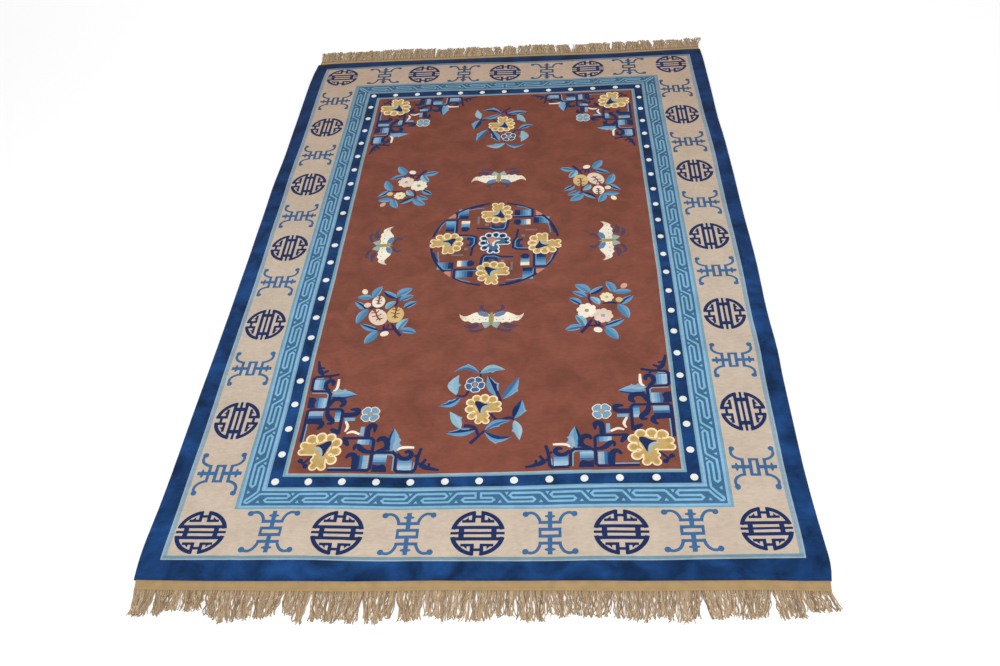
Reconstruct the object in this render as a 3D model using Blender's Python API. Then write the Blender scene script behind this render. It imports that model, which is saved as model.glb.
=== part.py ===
"""A chinese rug lying flat: one knotted wool pile carpet with a cotton fringe at each end.

Metres, +Z up. X runs across the rug and Y along it, with the near end at -Y. The origin is
the middle of the underside, which lies on the floor.
"""

import math
import random

import bpy

# The pile carpet, knots and foundation together
WIDTH = 1.830
LENGTH = 2.745
THICKNESS = 0.0100

# The pile's rim, from the floor up: how far each ring lies inside the outline, and its share
# of the thickness
RIM_INSET = (0.0008, 0.0, 0.0020, 0.0065)
RIM_HEIGHT = (0.0, 0.50, 0.84, 1.0)

# How far the woven sides wander outwards from the straight: the place along the rug in metres,
# then the left and the right side in millimetres
SIDE_WANDER = (
    (-1.3725, 2.0, 1.0),
    (-1.28, 7.0, 6.0),
    (-1.04, 3.5, 1.0),
    (-0.72, 4.0, 5.0),
    (-0.56, 3.0, 11.0),
    (-0.40, 3.0, 8.0),
    (-0.12, 5.0, 14.0),
    (0.16, 8.0, 11.0),
    (0.40, 12.0, 12.0),
    (0.60, 8.0, 11.0),
    (0.80, 10.0, 5.0),
    (1.04, 12.0, 6.0),
    (1.18, 14.0, 5.0),
    (1.28, 11.0, 5.0),
    (1.3725, 4.0, 1.0),
)
END_WANDER = 0.0012
END_WAVES = 2.5

# Creases left by folding the rug. A crease across the rug is given by its y, one along it by
# its x, then where it starts and ends, its half width and its depth.
CREASES_ACROSS = (
    (0.340, -0.90, 0.90, 0.030, 0.0016),
    (0.870, -0.30, 0.62, 0.026, 0.0010),
    (-0.445, -0.50, 0.30, 0.024, 0.0012),
    (-0.620, -0.75, 0.85, 0.040, 0.0012),
    (-1.215, -0.80, 0.20, 0.026, 0.0008),
)
CREASES_ALONG = (
    (-0.474, -0.60, 0.55, 0.024, 0.0010),
    (-0.146, 0.30, 1.25, 0.024, 0.0013),
    (0.420, 0.25, 1.05, 0.026, 0.0010),
    (0.345, -1.20, -0.55, 0.024, 0.0010),
)
CREASE_FADE = 0.08

# The top's long, low swell
SWELL_DEPTH = 0.0005
SWELL_WAVES_X = 1.5
SWELL_WAVES_Y = 2.5
SWELL_START_X = 0.7
SWELL_START_Y = 0.4

# The top is laid out in rows and columns, closer together at the creases
GRID_PITCH = 0.085
GRID_CLOSEST = 0.014

# The fringe: a flat woven web beyond the pile, with the warp ends gathered in locks
WEB_WIDTH = 0.028
WEB_THICKNESS = 0.0026
WEB_SET_IN = 0.004
WEB_FLARE = 0.0020
WEB_LIP = 0.0005
PIECE_GAP = 0.0003
LOCKS_PER_END = 146
LOCK_REACH = 0.082
LOCK_SHORTEST = 0.064
LOCK_RAGGED = 0.006
LOCKS_IN_BUNCH = (2, 7)
BUNCH_PULL = (0.05, 0.42)
BUNCH_LEAN = 0.009
LOCK_BOW = 1.4
LOCK_CLEARANCE = 0.0009
LOCK_JITTER = 0.0022
TIP_SPACING = 0.42
TIP_FARTHEST = 0.926

# Locks at the corners that lean outwards: the lock, and how far its tip moves to the right
CORNER_SPLAYS = ((0, -0.007), (-2, 0.005), (-1, 0.014))

# Sections of a lock from root to tip: share of its length, of the pitch that it fills, and of
# the web's thickness
LOCK_SECTIONS = (
    (0.0, 0.88, 1.0),
    (0.30, 0.84, 0.96),
    (0.66, 0.82, 0.84),
    (1.0, 0.68, 0.52),
)
LOCK_TOP_SHARE = 0.62
NEAR_SEED = 11
FAR_SEED = 29

WOOL_BROWN = (0.190, 0.073, 0.048, 1.0)
COTTON_TAN = (0.456, 0.305, 0.125, 1.0)
WOOL_ROUGHNESS = 0.95
COTTON_ROUGHNESS = 0.88
SHARP_ANGLE = 40.0
MM = 0.001


def cloth_material(name, colour, roughness):
    """A matt cloth finish of one colour."""
    material = bpy.data.materials.new(name)
    material.use_nodes = True
    shader = material.node_tree.nodes["Principled BSDF"]
    shader.inputs["Base Color"].default_value = colour
    shader.inputs["Roughness"].default_value = roughness
    shader.inputs["Metallic"].default_value = 0.0
    material.diffuse_color = colour
    return material


def mesh_object(name, points, faces, material):
    """One closed piece from its points and faces, shaded smooth but for its sharp edges."""
    mesh = bpy.data.meshes.new(name)
    mesh.from_pydata(points, [], faces)
    mesh.validate()
    mesh.shade_smooth()
    mesh.set_sharp_from_angle(angle=math.radians(SHARP_ANGLE))
    mesh.materials.append(material)
    piece = bpy.data.objects.new(name, mesh)
    bpy.context.scene.collection.objects.link(piece)
    return piece


def ease(share):
    """0 to 1 with a level start and end."""
    share = min(max(share, 0.0), 1.0)
    return share * share * (3.0 - 2.0 * share)


def side_wander(y, column):
    """How far a side lies outside its straight line at y: column 1 is left, 2 is right."""
    for before, after in zip(SIDE_WANDER, SIDE_WANDER[1:]):
        if y <= after[0]:
            break
    share = ease((y - before[0]) / (after[0] - before[0]))
    return MM * (before[column] + (after[column] - before[column]) * share)


def end_wander(across):
    """The slight wave of both ends, nothing at the middle, which keeps the length true."""
    return END_WANDER * (math.cos(math.pi * END_WAVES * across) - 1.0)


def outline_point(across, along, inset):
    """A point of the rug's plan, where across and along run from -1 to 1."""
    y = along * (LENGTH / 2.0 + end_wander(across) - inset)
    column = 1 if across < 0.0 else 2
    half = WIDTH / 2.0 + side_wander(y, column) - inset
    return across * half, y


def crease(offset, place, crease_row):
    """Depth of one crease at a distance from its line and a place along it."""
    _, start, end, half_width, depth = crease_row
    fade_in = ease((place - start) / CREASE_FADE + 0.5)
    fade_out = ease((end - place) / CREASE_FADE + 0.5)
    return depth * math.exp(-((offset / half_width) ** 2)) * fade_in * fade_out


def top_height(x, y):
    """Height of the pile's top above the floor."""
    swell = math.sin(2.0 * math.pi * SWELL_WAVES_X * x / WIDTH + SWELL_START_X)
    swell *= math.cos(2.0 * math.pi * SWELL_WAVES_Y * y / LENGTH + SWELL_START_Y)
    height = THICKNESS + SWELL_DEPTH * (swell - 1.0)
    for row in CREASES_ACROSS:
        height -= crease(y - row[0], x, row)
    for row in CREASES_ALONG:
        height -= crease(x - row[0], y, row)
    return height


def grid_lines(half, creases):
    """Places of the rows or columns, as shares of half: even ones, and three at each crease."""
    wanted = []
    for row in creases:
        for side in (-1.0, 0.0, 1.0):
            wanted.append(row[0] + side * row[3])
    steps = round(2.0 * half / GRID_PITCH)
    even = [-half + 2.0 * half * i / steps for i in range(steps + 1)]
    inner = [e for e in even[1:-1] if all(abs(e - w) > GRID_PITCH / 2.0 for w in wanted)]
    lines = [-half]
    for place in sorted(wanted + inner):
        if place - lines[-1] > GRID_CLOSEST:
            lines.append(place)
    lines.append(half)
    return [place / half for place in lines]


def build_pile_carpet():
    """The carpet as one slab: a creased top, a rounded rim and a flat underside."""
    columns = grid_lines(WIDTH / 2.0, CREASES_ALONG)
    rows = grid_lines(LENGTH / 2.0, CREASES_ACROSS)
    wide = len(columns)
    tall = len(rows)
    points = []
    for along in rows:
        for across in columns:
            x, y = outline_point(across, along, RIM_INSET[-1])
            points.append((x, y, top_height(x, y)))
    faces = []
    for j in range(tall - 1):
        for i in range(wide - 1):
            corner = j * wide + i
            faces.append((corner, corner + 1, corner + wide + 1, corner + wide))

    # The rim runs round the grid's border, counter-clockwise seen from above
    border = [(i, 0) for i in range(wide - 1)]
    border += [(wide - 1, j) for j in range(tall - 1)]
    border += [(i, tall - 1) for i in range(wide - 1, 0, -1)]
    border += [(0, j) for j in range(tall - 1, 0, -1)]
    upper = [j * wide + i for i, j in border]
    for level in range(len(RIM_INSET) - 2, -1, -1):
        lower = []
        for (i, j), top in zip(border, upper):
            x, y = outline_point(columns[i], rows[j], RIM_INSET[level])
            share = RIM_HEIGHT[level] / RIM_HEIGHT[level + 1]
            lower.append(len(points))
            points.append((x, y, points[top][2] * share))
        for k, below in enumerate(lower):
            after = (k + 1) % len(lower)
            faces.append((upper[k], below, lower[after], upper[after]))
        upper = lower
    faces.append(tuple(reversed(upper)))
    wool = cloth_material("wool_pile", WOOL_BROWN, WOOL_ROUGHNESS)
    return mesh_object("pile_carpet", points, faces, wool)


def lock_bunches(chance):
    """How many neighbouring locks lean together, bunch by bunch."""
    bunches = []
    left = LOCKS_PER_END
    while left > 0:
        size = min(chance.randint(*LOCKS_IN_BUNCH), left)
        bunches.append(size)
        left -= size
    return bunches


def plan_locks(chance, bunches, left, right):
    """Root and tip places of the locks across the rug, and how far each one reaches."""
    pitch = (right - left) / LOCKS_PER_END
    roots = [left + (i + 0.5) * pitch for i in range(LOCKS_PER_END)]
    tips = []
    reaches = []
    first = 0
    for size in bunches:
        middle = sum(roots[first:first + size]) / size
        pull = chance.uniform(*BUNCH_PULL)
        lean = chance.uniform(-BUNCH_LEAN, BUNCH_LEAN)
        reach = chance.uniform(LOCK_SHORTEST, LOCK_REACH)
        for root in roots[first:first + size]:
            jitter = chance.uniform(-LOCK_JITTER, LOCK_JITTER)
            tips.append(root + (middle - root) * pull + lean + jitter)
            ragged = chance.uniform(-LOCK_RAGGED, LOCK_RAGGED)
            reaches.append(min(reach + ragged, LOCK_REACH))
        first += size
    reaches[len(reaches) // 2] = LOCK_REACH
    for lock, splay in CORNER_SPLAYS:
        tips[lock] = roots[lock] + splay

    # No lock crosses the next one
    closest = pitch * TIP_SPACING
    for i in range(1, LOCKS_PER_END):
        tips[i] = max(tips[i], tips[i - 1] + closest)
    for i in range(LOCKS_PER_END - 1, -1, -1):
        tips[i] = min(tips[i], TIP_FARTHEST - (LOCKS_PER_END - 1 - i) * closest)
    return pitch, roots, tips, reaches


def build_fringe(name, end, seed, material):
    """One end's fringe: the web and its locks in one piece. end is -1 near and 1 far."""
    chance = random.Random(seed)
    bunches = lock_bunches(chance)
    outer_y = LENGTH / 2.0 + WEB_WIDTH
    left = -WIDTH / 2.0 + WEB_SET_IN
    right = WIDTH / 2.0 - WEB_SET_IN
    pitch, roots, tips, reaches = plan_locks(chance, bunches, left, right)

    # Half widths at every section, kept clear of the neighbours' centre lines
    sections = []
    for share, fill, height in LOCK_SECTIONS:
        drift = share ** LOCK_BOW
        middles = [r + (t - r) * drift for r, t in zip(roots, tips)]
        halves = []
        for i, middle in enumerate(middles):
            half = fill * pitch / 2.0
            for j in (i - 1, i + 1):
                if 0 <= j < LOCKS_PER_END:
                    half = min(half, (abs(middles[j] - middle) - LOCK_CLEARANCE) / 2.0)
            halves.append(half)
        sections.append((share, middles, halves, height * WEB_THICKNESS))

    points = []
    faces = []

    def add(x, y, z):
        points.append((x, end * y, z))
        return len(points) - 1

    def face(*corners):
        faces.append(corners if end > 0 else tuple(reversed(corners)))

    # Root corners of every lock on the web's outer edge: low left, low right, high right, high
    # left, seen from outside with +Z up and the lock's own left at lower x
    lock_roots = []
    for i in range(LOCKS_PER_END):
        low_x = sections[0][1][i] - sections[0][2][i]
        high_x = sections[0][1][i] + sections[0][2][i]
        lock_roots.append((
            add(low_x, outer_y, 0.0),
            add(high_x, outer_y, 0.0),
            add(high_x, outer_y, WEB_THICKNESS),
            add(low_x, outer_y, WEB_THICKNESS),
        ))

    for i in range(LOCKS_PER_END):
        ring = lock_roots[i]
        for share, middles, halves, height in sections[1:]:
            y = outer_y + share * reaches[i]
            half = halves[i]
            top = half * LOCK_TOP_SHARE
            after = (
                add(middles[i] - half, y, 0.0),
                add(middles[i] + half, y, 0.0),
                add(middles[i] + top, y, height),
                add(middles[i] - top, y, height),
            )
            for k in range(4):
                m = (k + 1) % 4
                face(ring[k], after[k], after[m], ring[m])
            ring = after
        face(ring[3], ring[2], ring[1], ring[0])

    # The web, one stretch for each bunch, between shared corners
    def outer_column(x):
        return add(x, outer_y, 0.0), add(x, outer_y, WEB_THICKNESS)

    def inner_column(x):
        y = LENGTH / 2.0 + end_wander(2.0 * x / WIDTH) + PIECE_GAP
        return add(x, y, 0.0), add(x, y, WEB_THICKNESS)

    inner_left = inner_column(left - WEB_FLARE)
    outer_left = outer_column(left - WEB_LIP)
    face(inner_left[1], outer_left[1], outer_left[0], inner_left[0])
    first = 0
    edge_low = [outer_left[0]]
    edge_high = [outer_left[1]]
    for number, size in enumerate(bunches):
        for i in range(first, first + size):
            low_left, low_right, high_right, high_left = lock_roots[i]
            face(edge_high[-1], high_left, low_left, edge_low[-1])
            edge_low += [low_left, low_right]
            edge_high += [high_left, high_right]
        first += size
        if number == len(bunches) - 1:
            outer_right = outer_column(right + WEB_LIP)
            face(edge_high[-1], outer_right[1], outer_right[0], edge_low[-1])
            edge_low.append(outer_right[0])
            edge_high.append(outer_right[1])
            inner_right = inner_column(right + WEB_FLARE)
        else:
            inner_right = inner_column(left + first * pitch)
        face(inner_left[1], inner_right[1], *reversed(edge_high))
        face(inner_right[0], inner_left[0], *edge_low)
        face(inner_right[0], inner_right[1], inner_left[1], inner_left[0])
        inner_left = inner_right
        edge_low = [edge_low[-1]]
        edge_high = [edge_high[-1]]
    face(outer_right[1], inner_right[1], inner_right[0], outer_right[0])
    return mesh_object(name, points, faces, material)


for leftover in list(bpy.data.objects):
    bpy.data.objects.remove(leftover)

build_pile_carpet()
cotton = cloth_material("cotton_fringe", COTTON_TAN, COTTON_ROUGHNESS)
build_fringe("fringe_near", -1, NEAR_SEED, cotton)
build_fringe("fringe_far", 1, FAR_SEED, cotton)
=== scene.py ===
"""A chinese rug on a pale floor: its knotted wool pile, woven ends and cotton fringe."""

import math
import random

import bpy
import numpy as np
from mathutils import Matrix, Vector, noise
from mathutils.bvhtree import BVHTree
from mathutils.geometry import delaunay_2d_cdt


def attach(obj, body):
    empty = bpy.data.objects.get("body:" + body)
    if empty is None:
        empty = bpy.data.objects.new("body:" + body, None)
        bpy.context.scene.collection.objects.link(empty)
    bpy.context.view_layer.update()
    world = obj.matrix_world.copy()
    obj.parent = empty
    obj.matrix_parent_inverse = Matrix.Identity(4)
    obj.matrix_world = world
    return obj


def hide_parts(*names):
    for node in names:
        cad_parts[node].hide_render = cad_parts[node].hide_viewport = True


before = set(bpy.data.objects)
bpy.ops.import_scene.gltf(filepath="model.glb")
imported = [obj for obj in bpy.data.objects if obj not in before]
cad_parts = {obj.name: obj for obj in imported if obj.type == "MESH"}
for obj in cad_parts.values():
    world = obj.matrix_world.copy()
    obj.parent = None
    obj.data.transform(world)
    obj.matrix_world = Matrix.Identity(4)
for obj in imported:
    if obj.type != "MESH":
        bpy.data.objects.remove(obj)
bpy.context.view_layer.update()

# The bands of the knotted pile
# Each border is a plain band of wool that the weaver runs round the whole rug, row by row, from
# the navy edge inwards to the brown field. The drawing below is the weaver's plan, laid flat.
HALF_WIDTH = 0.9150
HALF_LENGTH = 1.3725
OUTER_LINE = (0.8635, 1.3095)
BEIGE_GROUND = (0.8520, 1.3000)
FRET_CORNER = (0.6320, 1.0900)
FIELD_CORNER = (0.5685, 1.0320)

# From the outside in: half the width and half the length that each yarn's ground reaches
BANDS = (
    ("navy", HALF_WIDTH, HALF_LENGTH),
    ("pale grey", 0.8680, 1.3133),
    ("dull teal", *OUTER_LINE),
    ("beige", *BEIGE_GROUND),
    ("teal", 0.6945, 1.1515),
    ("light blue", 0.6860, 1.1460),
    ("slate blue", 0.6790, 1.1395),
    ("light blue", *FRET_CORNER),
    ("teal", 0.6235, 1.0835),
    ("navy", 0.6185, 1.0785),
    ("teal", 0.5820, 1.0435),
    ("pale grey", 0.5745, 1.0375),
    ("field brown", *FIELD_CORNER),
)
# Every outline that is knotted, with its yarn, the later ones over the earlier ones
plan = []


def knot(yarn, outlines):
    """Knots closed outlines in one yarn, over what the plan holds already."""
    for outline in outlines:
        plan.append((yarn, outline))


def box(x0, y0, x1, y1):
    """A rectangle from its lowest to its highest corner."""
    return [(x0, y0), (x1, y0), (x1, y1), (x0, y1)]


for yarn, half_width, half_length in BANDS:
    knot(yarn, [box(-half_width, -half_length, half_width, half_length)])
# Along the two long sides the outer line is of a paler lot
knot("soft teal", [box(-OUTER_LINE[0], -BEIGE_GROUND[1], -BEIGE_GROUND[0], BEIGE_GROUND[1]),
                   box(BEIGE_GROUND[0], -BEIGE_GROUND[1], OUTER_LINE[0], BEIGE_GROUND[1])])

# The roundels of the beige border
# Round navy figures of bars and hooks, an old good-luck ornament, twenty in all. Each is one
# quarter repeated four times, as the weaver counts it.
MM = 0.001
ROUNDEL_RADIUS = 0.0710
ROUNDEL_RIM = 0.0118
# Bars, links and hooks of one quarter: from and to, across and along
ROUNDEL_BARS = (
    (0.0, 0.0125, 0.0600, 0.0232),
    (0.0350, 0.0, 0.0490, 0.0130),
    (0.0070, 0.0330, 0.0170, 0.0690),
    (0.0070, 0.0330, 0.0420, 0.0415),
)
ROUNDEL_BARB = ((0.0420, 0.0330), (0.0250, 0.0500), (0.0250, 0.0415))
ROUNDEL_BRIDGE = (0.0, 0.0475, 0.0100, 0.0560)
ROUNDEL_MIDDLE_BAR = (-0.0700, -0.0040, 0.0700, 0.0040)
# Their middles in millimetres, none quite in line, as the knots were counted by eye
ROUNDELS_AT_ENDS = (
    (-775, -1226), (-385, -1227), (4, -1228), (394, -1227), (775, -1221),
    (-775, 1230), (-387, 1227), (-2, 1221), (384, 1227), (768, 1236),
)
ROUNDELS_AT_SIDES = (
    (-772, -832), (-774, -412), (-774, -7), (-775, 392), (-775, 811),
    (775, -821), (775, -406), (774, -5), (772, 398), (771, 808),
)
# How much wider and longer they came out than they were counted
STRETCH_AT_ENDS = (1.06, 0.99)
STRETCH_AT_SIDES = (1.05, 1.04)


def placed(outlines, at, turn=0.0, flip=False):
    """Outlines turned by an angle in degrees, after a mirroring of x, and moved to a place."""
    c = math.cos(math.radians(turn))
    s = math.sin(math.radians(turn))
    made = []
    for outline in outlines:
        points = [(-x, y) if flip else (x, y) for x, y in outline]
        made.append([(at[0] + c * x - s * y, at[1] + s * x + c * y) for x, y in points])
    return made


def stretched(outlines, across, along):
    """Outlines made wider and longer about their middle."""
    return [[(across * x, along * y) for x, y in outline] for outline in outlines]


def in_quarters(outlines):
    """The outlines of one quarter, drawn in all four."""
    made = []
    for outline in outlines:
        for sx, sy in ((1, 1), (-1, 1), (-1, -1), (1, -1)):
            made.append([(sx * x, sy * y) for x, y in outline])
    return made


def arc(radius, start, end, steps, centre=(0.0, 0.0)):
    """Points along a circle, angles in degrees."""
    made = []
    for i in range(steps + 1):
        angle = math.radians(start + (end - start) * i / steps)
        made.append((centre[0] + radius * math.cos(angle), centre[1] + radius * math.sin(angle)))
    return made


def ring_part(radius, width, start, end, steps):
    """A piece of a ring inside a radius."""
    return arc(radius, start, end, steps) + arc(radius - width, end, start, steps)


def roundel():
    quarter = [ring_part(ROUNDEL_RADIUS, ROUNDEL_RIM, 10.4, 82.5, 12)]
    quarter += [box(*bar) for bar in ROUNDEL_BARS]
    quarter += [ROUNDEL_BARB, box(*ROUNDEL_BRIDGE)]
    return in_quarters(quarter) + [box(*ROUNDEL_MIDDLE_BAR)]


for x, y in ROUNDELS_AT_ENDS:
    knot("deep navy", placed(stretched(roundel(), *STRETCH_AT_ENDS), (x * MM, y * MM)))
for x, y in ROUNDELS_AT_SIDES:
    knot("deep navy", placed(stretched(roundel(), *STRETCH_AT_SIDES), (x * MM, y * MM), 90.0))

# The scroll figures of the beige border
# Between the roundels stand blue figures with four curled horns, twenty in all. They too are
# one counted quarter repeated.
HORN = ((0.0265, 0.0320), (0.0300, 0.0440), (0.0380, 0.0560), (0.0500, 0.0620), (0.0640, 0.0605))
HORN_WIDTH = 0.0088
HORN_KNOB = (0.0672, 0.0580, 0.0088)
SCROLL_CROSSBAR = (0.0, 0.0275, 0.0315, 0.0370)
SCROLL_STEM = (0.0, 0.0360, 0.0063, 0.0665)
SCROLL_LEAF = ((0.0, 0.0445), (0.0145, 0.0492), (0.0145, 0.0535), (0.0, 0.0580))
SCROLL_MIDDLE_BARS = (
    (0.0235, 0.0, 0.0315, 0.0155),
    (0.0, 0.0055, 0.0315, 0.0155),
    (0.0, 0.0150, 0.0063, 0.0285),
)
SCROLLS_AT_ENDS = (
    (-578, -1224), (-189, -1228), (202, -1227), (577, -1224),
    (-574, 1228), (-196, 1224), (194, 1225), (572, 1231),
)
SCROLLS_AT_SIDES = (
    (-774, -1030), (-775, -615), (-776, -197), (-775, 185), (-775, 598), (-773, 1031),
    (776, -1026), (773, -613), (775, -193), (774, 193), (771, 601), (768, 1030),
)
SCROLL_STRETCH_AT_SIDES = (0.975, 1.055)


def curve(points, steps=5):
    """A smooth line through a few points."""
    made = []
    ends = [points[0]] + list(points) + [points[-1]]
    for p0, p1, p2, p3 in zip(ends, ends[1:], ends[2:], ends[3:]):
        for i in range(steps):
            t = i / steps
            made.append(tuple(
                0.5 * (2 * b + (c - a) * t + (2 * a - 5 * b + 4 * c - d) * t * t
                       + (3 * b - a - 3 * c + d) * t ** 3)
                for a, b, c, d in zip(p0, p1, p2, p3)))
    made.append(tuple(points[-1]))
    return made


def ribbon(points, widths):
    """A strip along a line, with one width or one for each point."""
    if not hasattr(widths, "__len__"):
        widths = [widths] * len(points)
    left = []
    right = []
    last = len(points) - 1
    for i, (x, y) in enumerate(points):
        ax, ay = points[max(i - 1, 0)]
        bx, by = points[min(i + 1, last)]
        length = math.hypot(bx - ax, by - ay)
        nx, ny = -(by - ay) / length, (bx - ax) / length
        half = widths[i] / 2.0
        left.append((x + nx * half, y + ny * half))
        right.append((x - nx * half, y - ny * half))
    return left + right[::-1]


def disc(x, y, radius, steps=14):
    """A round outline."""
    return arc(radius, 0.0, 360.0 - 360.0 / steps, steps - 1, (x, y))


def scroll_figure():
    quarter = [box(*SCROLL_CROSSBAR), ribbon(curve(HORN), HORN_WIDTH), disc(*HORN_KNOB)]
    quarter += [box(*SCROLL_STEM), SCROLL_LEAF]
    quarter += [box(*bar) for bar in SCROLL_MIDDLE_BARS]
    return in_quarters(quarter)


for x, y in SCROLLS_AT_ENDS:
    knot("scroll blue", placed(scroll_figure(), (x * MM, y * MM)))
for x, y in SCROLLS_AT_SIDES:
    figure = stretched(scroll_figure(), *SCROLL_STRETCH_AT_SIDES)
    knot("scroll blue", placed(figure, (x * MM, y * MM), 90.0))

# The fret and the pearls
# Inside the beige border runs a key fret of one light line on slate blue, turned at the middle
# of each side, and inside that a navy guard with a row of round white pearls.
# How far the line's three runs lie outside the ground's inner edge
FRET_RUNS = (0.0100, 0.0240, 0.0372)
FRET_LINE = 0.0065
FRET_PITCH = 0.1145
FRET_START = 0.0017
FRET_INNER_LENGTH = 0.0795
FRET_NOSE = 0.0070
FRET_TAIL = 0.0155
FRET_DIAGONAL = 0.0230
FRET_MIDDLE_GAP = 0.0080
FRET_TAIL_SLANT = 0.0065
# The small triangles in the line's bends: width, reach to either side of a run, and place
FRET_TRIANGLE = 0.0120
TRIANGLE_BASE = 0.0030
TRIANGLE_TIP = 0.0060
TRIANGLE_BACK = 0.0190
TRIANGLE_OUTER_BACK = 0.0009
# At a corner the line swings out a little farther, and its two triangles are longer
CORNER_SWING = 0.0026
CORNER_CUT = 0.0023
CORNER_LOOP = 0.0317
CORNER_TRIANGLE_AT = 0.0039
CORNER_TRIANGLE_TIP = 0.0080
CORNER_RUN_IN = 0.0002


def bent_line(points, width):
    """A bent line of even width: one strip for each straight run, with mitred corners."""
    half = width / 2.0
    runs = []
    for i in range(len(points) - 1):
        (ax, ay), (bx, by) = points[i], points[i + 1]
        length = math.hypot(bx - ax, by - ay)
        ux, uy = (bx - ax) / length, (by - ay) / length
        reach = [0.0, 0.0]
        for end, j in ((0, i - 1), (1, i + 1)):
            if 0 <= j < len(points) - 1:
                (cx, cy), (dx, dy) = points[j], points[j + 1]
                bend = abs(math.remainder(
                    math.atan2(dy - cy, dx - cx) - math.atan2(uy, ux), 2.0 * math.pi))
                reach[end] = half * min(math.tan(bend / 2.0), 1.0)
        ax, ay = ax - ux * reach[0], ay - uy * reach[0]
        bx, by = bx + ux * reach[1], by + uy * reach[1]
        nx, ny = -uy * half, ux * half
        runs.append([(ax + nx, ay + ny), (bx + nx, by + ny), (bx - nx, by - ny), (ax - nx, ay - ny)])
    return runs


def triangle(x, base, tip):
    """A fret triangle that points along y."""
    half = FRET_TRIANGLE / 2.0
    return [(x - half, base), (x + half, base), (x, tip)]


def fret_half(length):
    """The fret from a corner to the middle of a side, along x, with the rug's edge at -y."""
    inner, middle, outer = (-run for run in FRET_RUNS)
    made = []
    start = -FRET_START
    while start < length:
        nose = start + FRET_INNER_LENGTH
        tail = start + FRET_TAIL
        following = start + FRET_PITCH
        if following > length:
            nose = length - FRET_MIDDLE_GAP
            line = [(start, inner), (nose, inner), (nose, middle)]
        else:
            line = [(start, inner), (nose, inner), (nose + FRET_NOSE, (inner + middle) / 2.0),
                    (nose, middle)]
            made.append(triangle(following - TRIANGLE_BACK, inner + TRIANGLE_BASE, inner - TRIANGLE_TIP))
            made.append(triangle(following - TRIANGLE_OUTER_BACK, outer - TRIANGLE_BASE,
                                 outer + TRIANGLE_TIP))
        line += [(tail + FRET_TAIL_SLANT, middle), (tail, (middle + outer) / 2.0),
                 (tail + FRET_TAIL_SLANT, outer)]
        if following > length:
            line.append((length, outer))
        else:
            line += [(following - FRET_DIAGONAL, outer), (following, inner)]
        made += bent_line(line, FRET_LINE)
        start = following
    return made


def fret_corner():
    """The turn of the fret at a corner, from the ground's inner corner."""
    near = FRET_RUNS[0] - CORNER_RUN_IN
    far = FRET_RUNS[2] + CORNER_SWING
    turn = far - CORNER_CUT
    line = [(-near, -FRET_START), (-far, -CORNER_LOOP), (-far, -turn), (-turn, -far),
            (-CORNER_LOOP, -far), (-FRET_START, -near)]
    point = triangle(-CORNER_TRIANGLE_AT, -far, -far + CORNER_TRIANGLE_TIP)
    return bent_line(line, FRET_LINE) + [point, [(y, x) for x, y in point]]


for flip in (False, True):
    side = 1.0 if flip else -1.0
    corner_x = side * FRET_CORNER[0]
    corner_y = side * FRET_CORNER[1]
    across = fret_half(FRET_CORNER[0])
    along = fret_half(FRET_CORNER[1])
    knot("sky blue", placed(across, (corner_x, -FRET_CORNER[1]), 0.0, flip))
    knot("sky blue", placed(across, (-corner_x, FRET_CORNER[1]), 180.0, flip))
    knot("sky blue", placed(along, (FRET_CORNER[0], corner_y), 90.0, flip))
    knot("sky blue", placed(along, (-FRET_CORNER[0], -corner_y), -90.0, flip))
    knot("sky blue", placed(fret_corner(), (corner_x, -FRET_CORNER[1]), 0.0, flip))
    knot("sky blue", placed(fret_corner(), (-corner_x, FRET_CORNER[1]), 180.0, flip))

PEARL_RADIUS = 0.0112
PEARLS_ACROSS = 13
PEARLS_ALONG = 23
PEARL_X = 0.6000
PEARL_Y = 1.0600
for i in range(PEARLS_ACROSS):
    x = PEARL_X * (2.0 * i / (PEARLS_ACROSS - 1) - 1.0)
    knot("white", [disc(x, -PEARL_Y, PEARL_RADIUS), disc(x, PEARL_Y, PEARL_RADIUS)])
for i in range(1, PEARLS_ALONG - 1):
    y = PEARL_Y * (2.0 * i / (PEARLS_ALONG - 1) - 1.0)
    knot("white", [disc(-PEARL_X, y, PEARL_RADIUS), disc(PEARL_X, y, PEARL_RADIUS)])

# The blossoms
# Open flowers with lobed petals, each lobe outlined in a lighter yarn, a dark heart and a small
# crescent of light blue. The large one stands in the corners, the medallion and two sprays.
BLOSSOM_SIZES = {"corner": 1.17, "medallion": 1.05, "middle": 1.02, "spray": 1.0}
LOBE_RIM = 4.2
LOBE_CORE = 7.5
# Lobes of a flower 117 mm wide: x and y from its middle and radius, in millimetres
LOBES = ((-42, 26, 15.0), (-37, -28, 14.5), (-44, -1, 15.0), (-24, 42, 15.0), (27, 38, 16.0),
         (2, 45, 15.0))
LARGE_PETALS = (((43, 19, 12.5), (45, -2, 12.0)), ((-15, -48, 12.0), (8, -48, 12.0), (10, -27, 9.5)))
PETAL_BODIES = ((8, -13, 48, 28), (-24, -52, 15, -8))
PETAL_CORE = 6.0
# The round ground under the lobes, in the rim's yarn and then in the petals'
RIM_GROUND = (-11.0, 11.0, 33.0)
PETAL_GROUND = (-9.0, 9.0, 25.0)
HEART = ((-29, 26), (-28, 31), (-21, 32), (-14, 30), (-7, 25), (2, 21), (11, 19), (13, 16), (3, 14),
         (-4, 9), (-8, 2), (-10, -7), (-10, -15), (-13, -15), (-16, -8), (-19, 1), (-23, 10), (-28, 19))
CRESCENT = ((19, 12), (7, 10), (-2, 4), (-5, -7), (-4, -20))
CRESCENT_WIDTHS = (4.0, 7.0, 8.0, 8.0, 5.0)
# Short strokes of the rim's yarn beside the heart
GLINTS = (((-15, 35), (-4, 30), (6, 26)), ((-29, 13), (-26, 3), (-21, -7)), ((15, 27), (22, 24)))
GLINT_WIDTH = 3.0
# A floweret's rim is thinner
FLOWERET_RIM = 2.6


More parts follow.
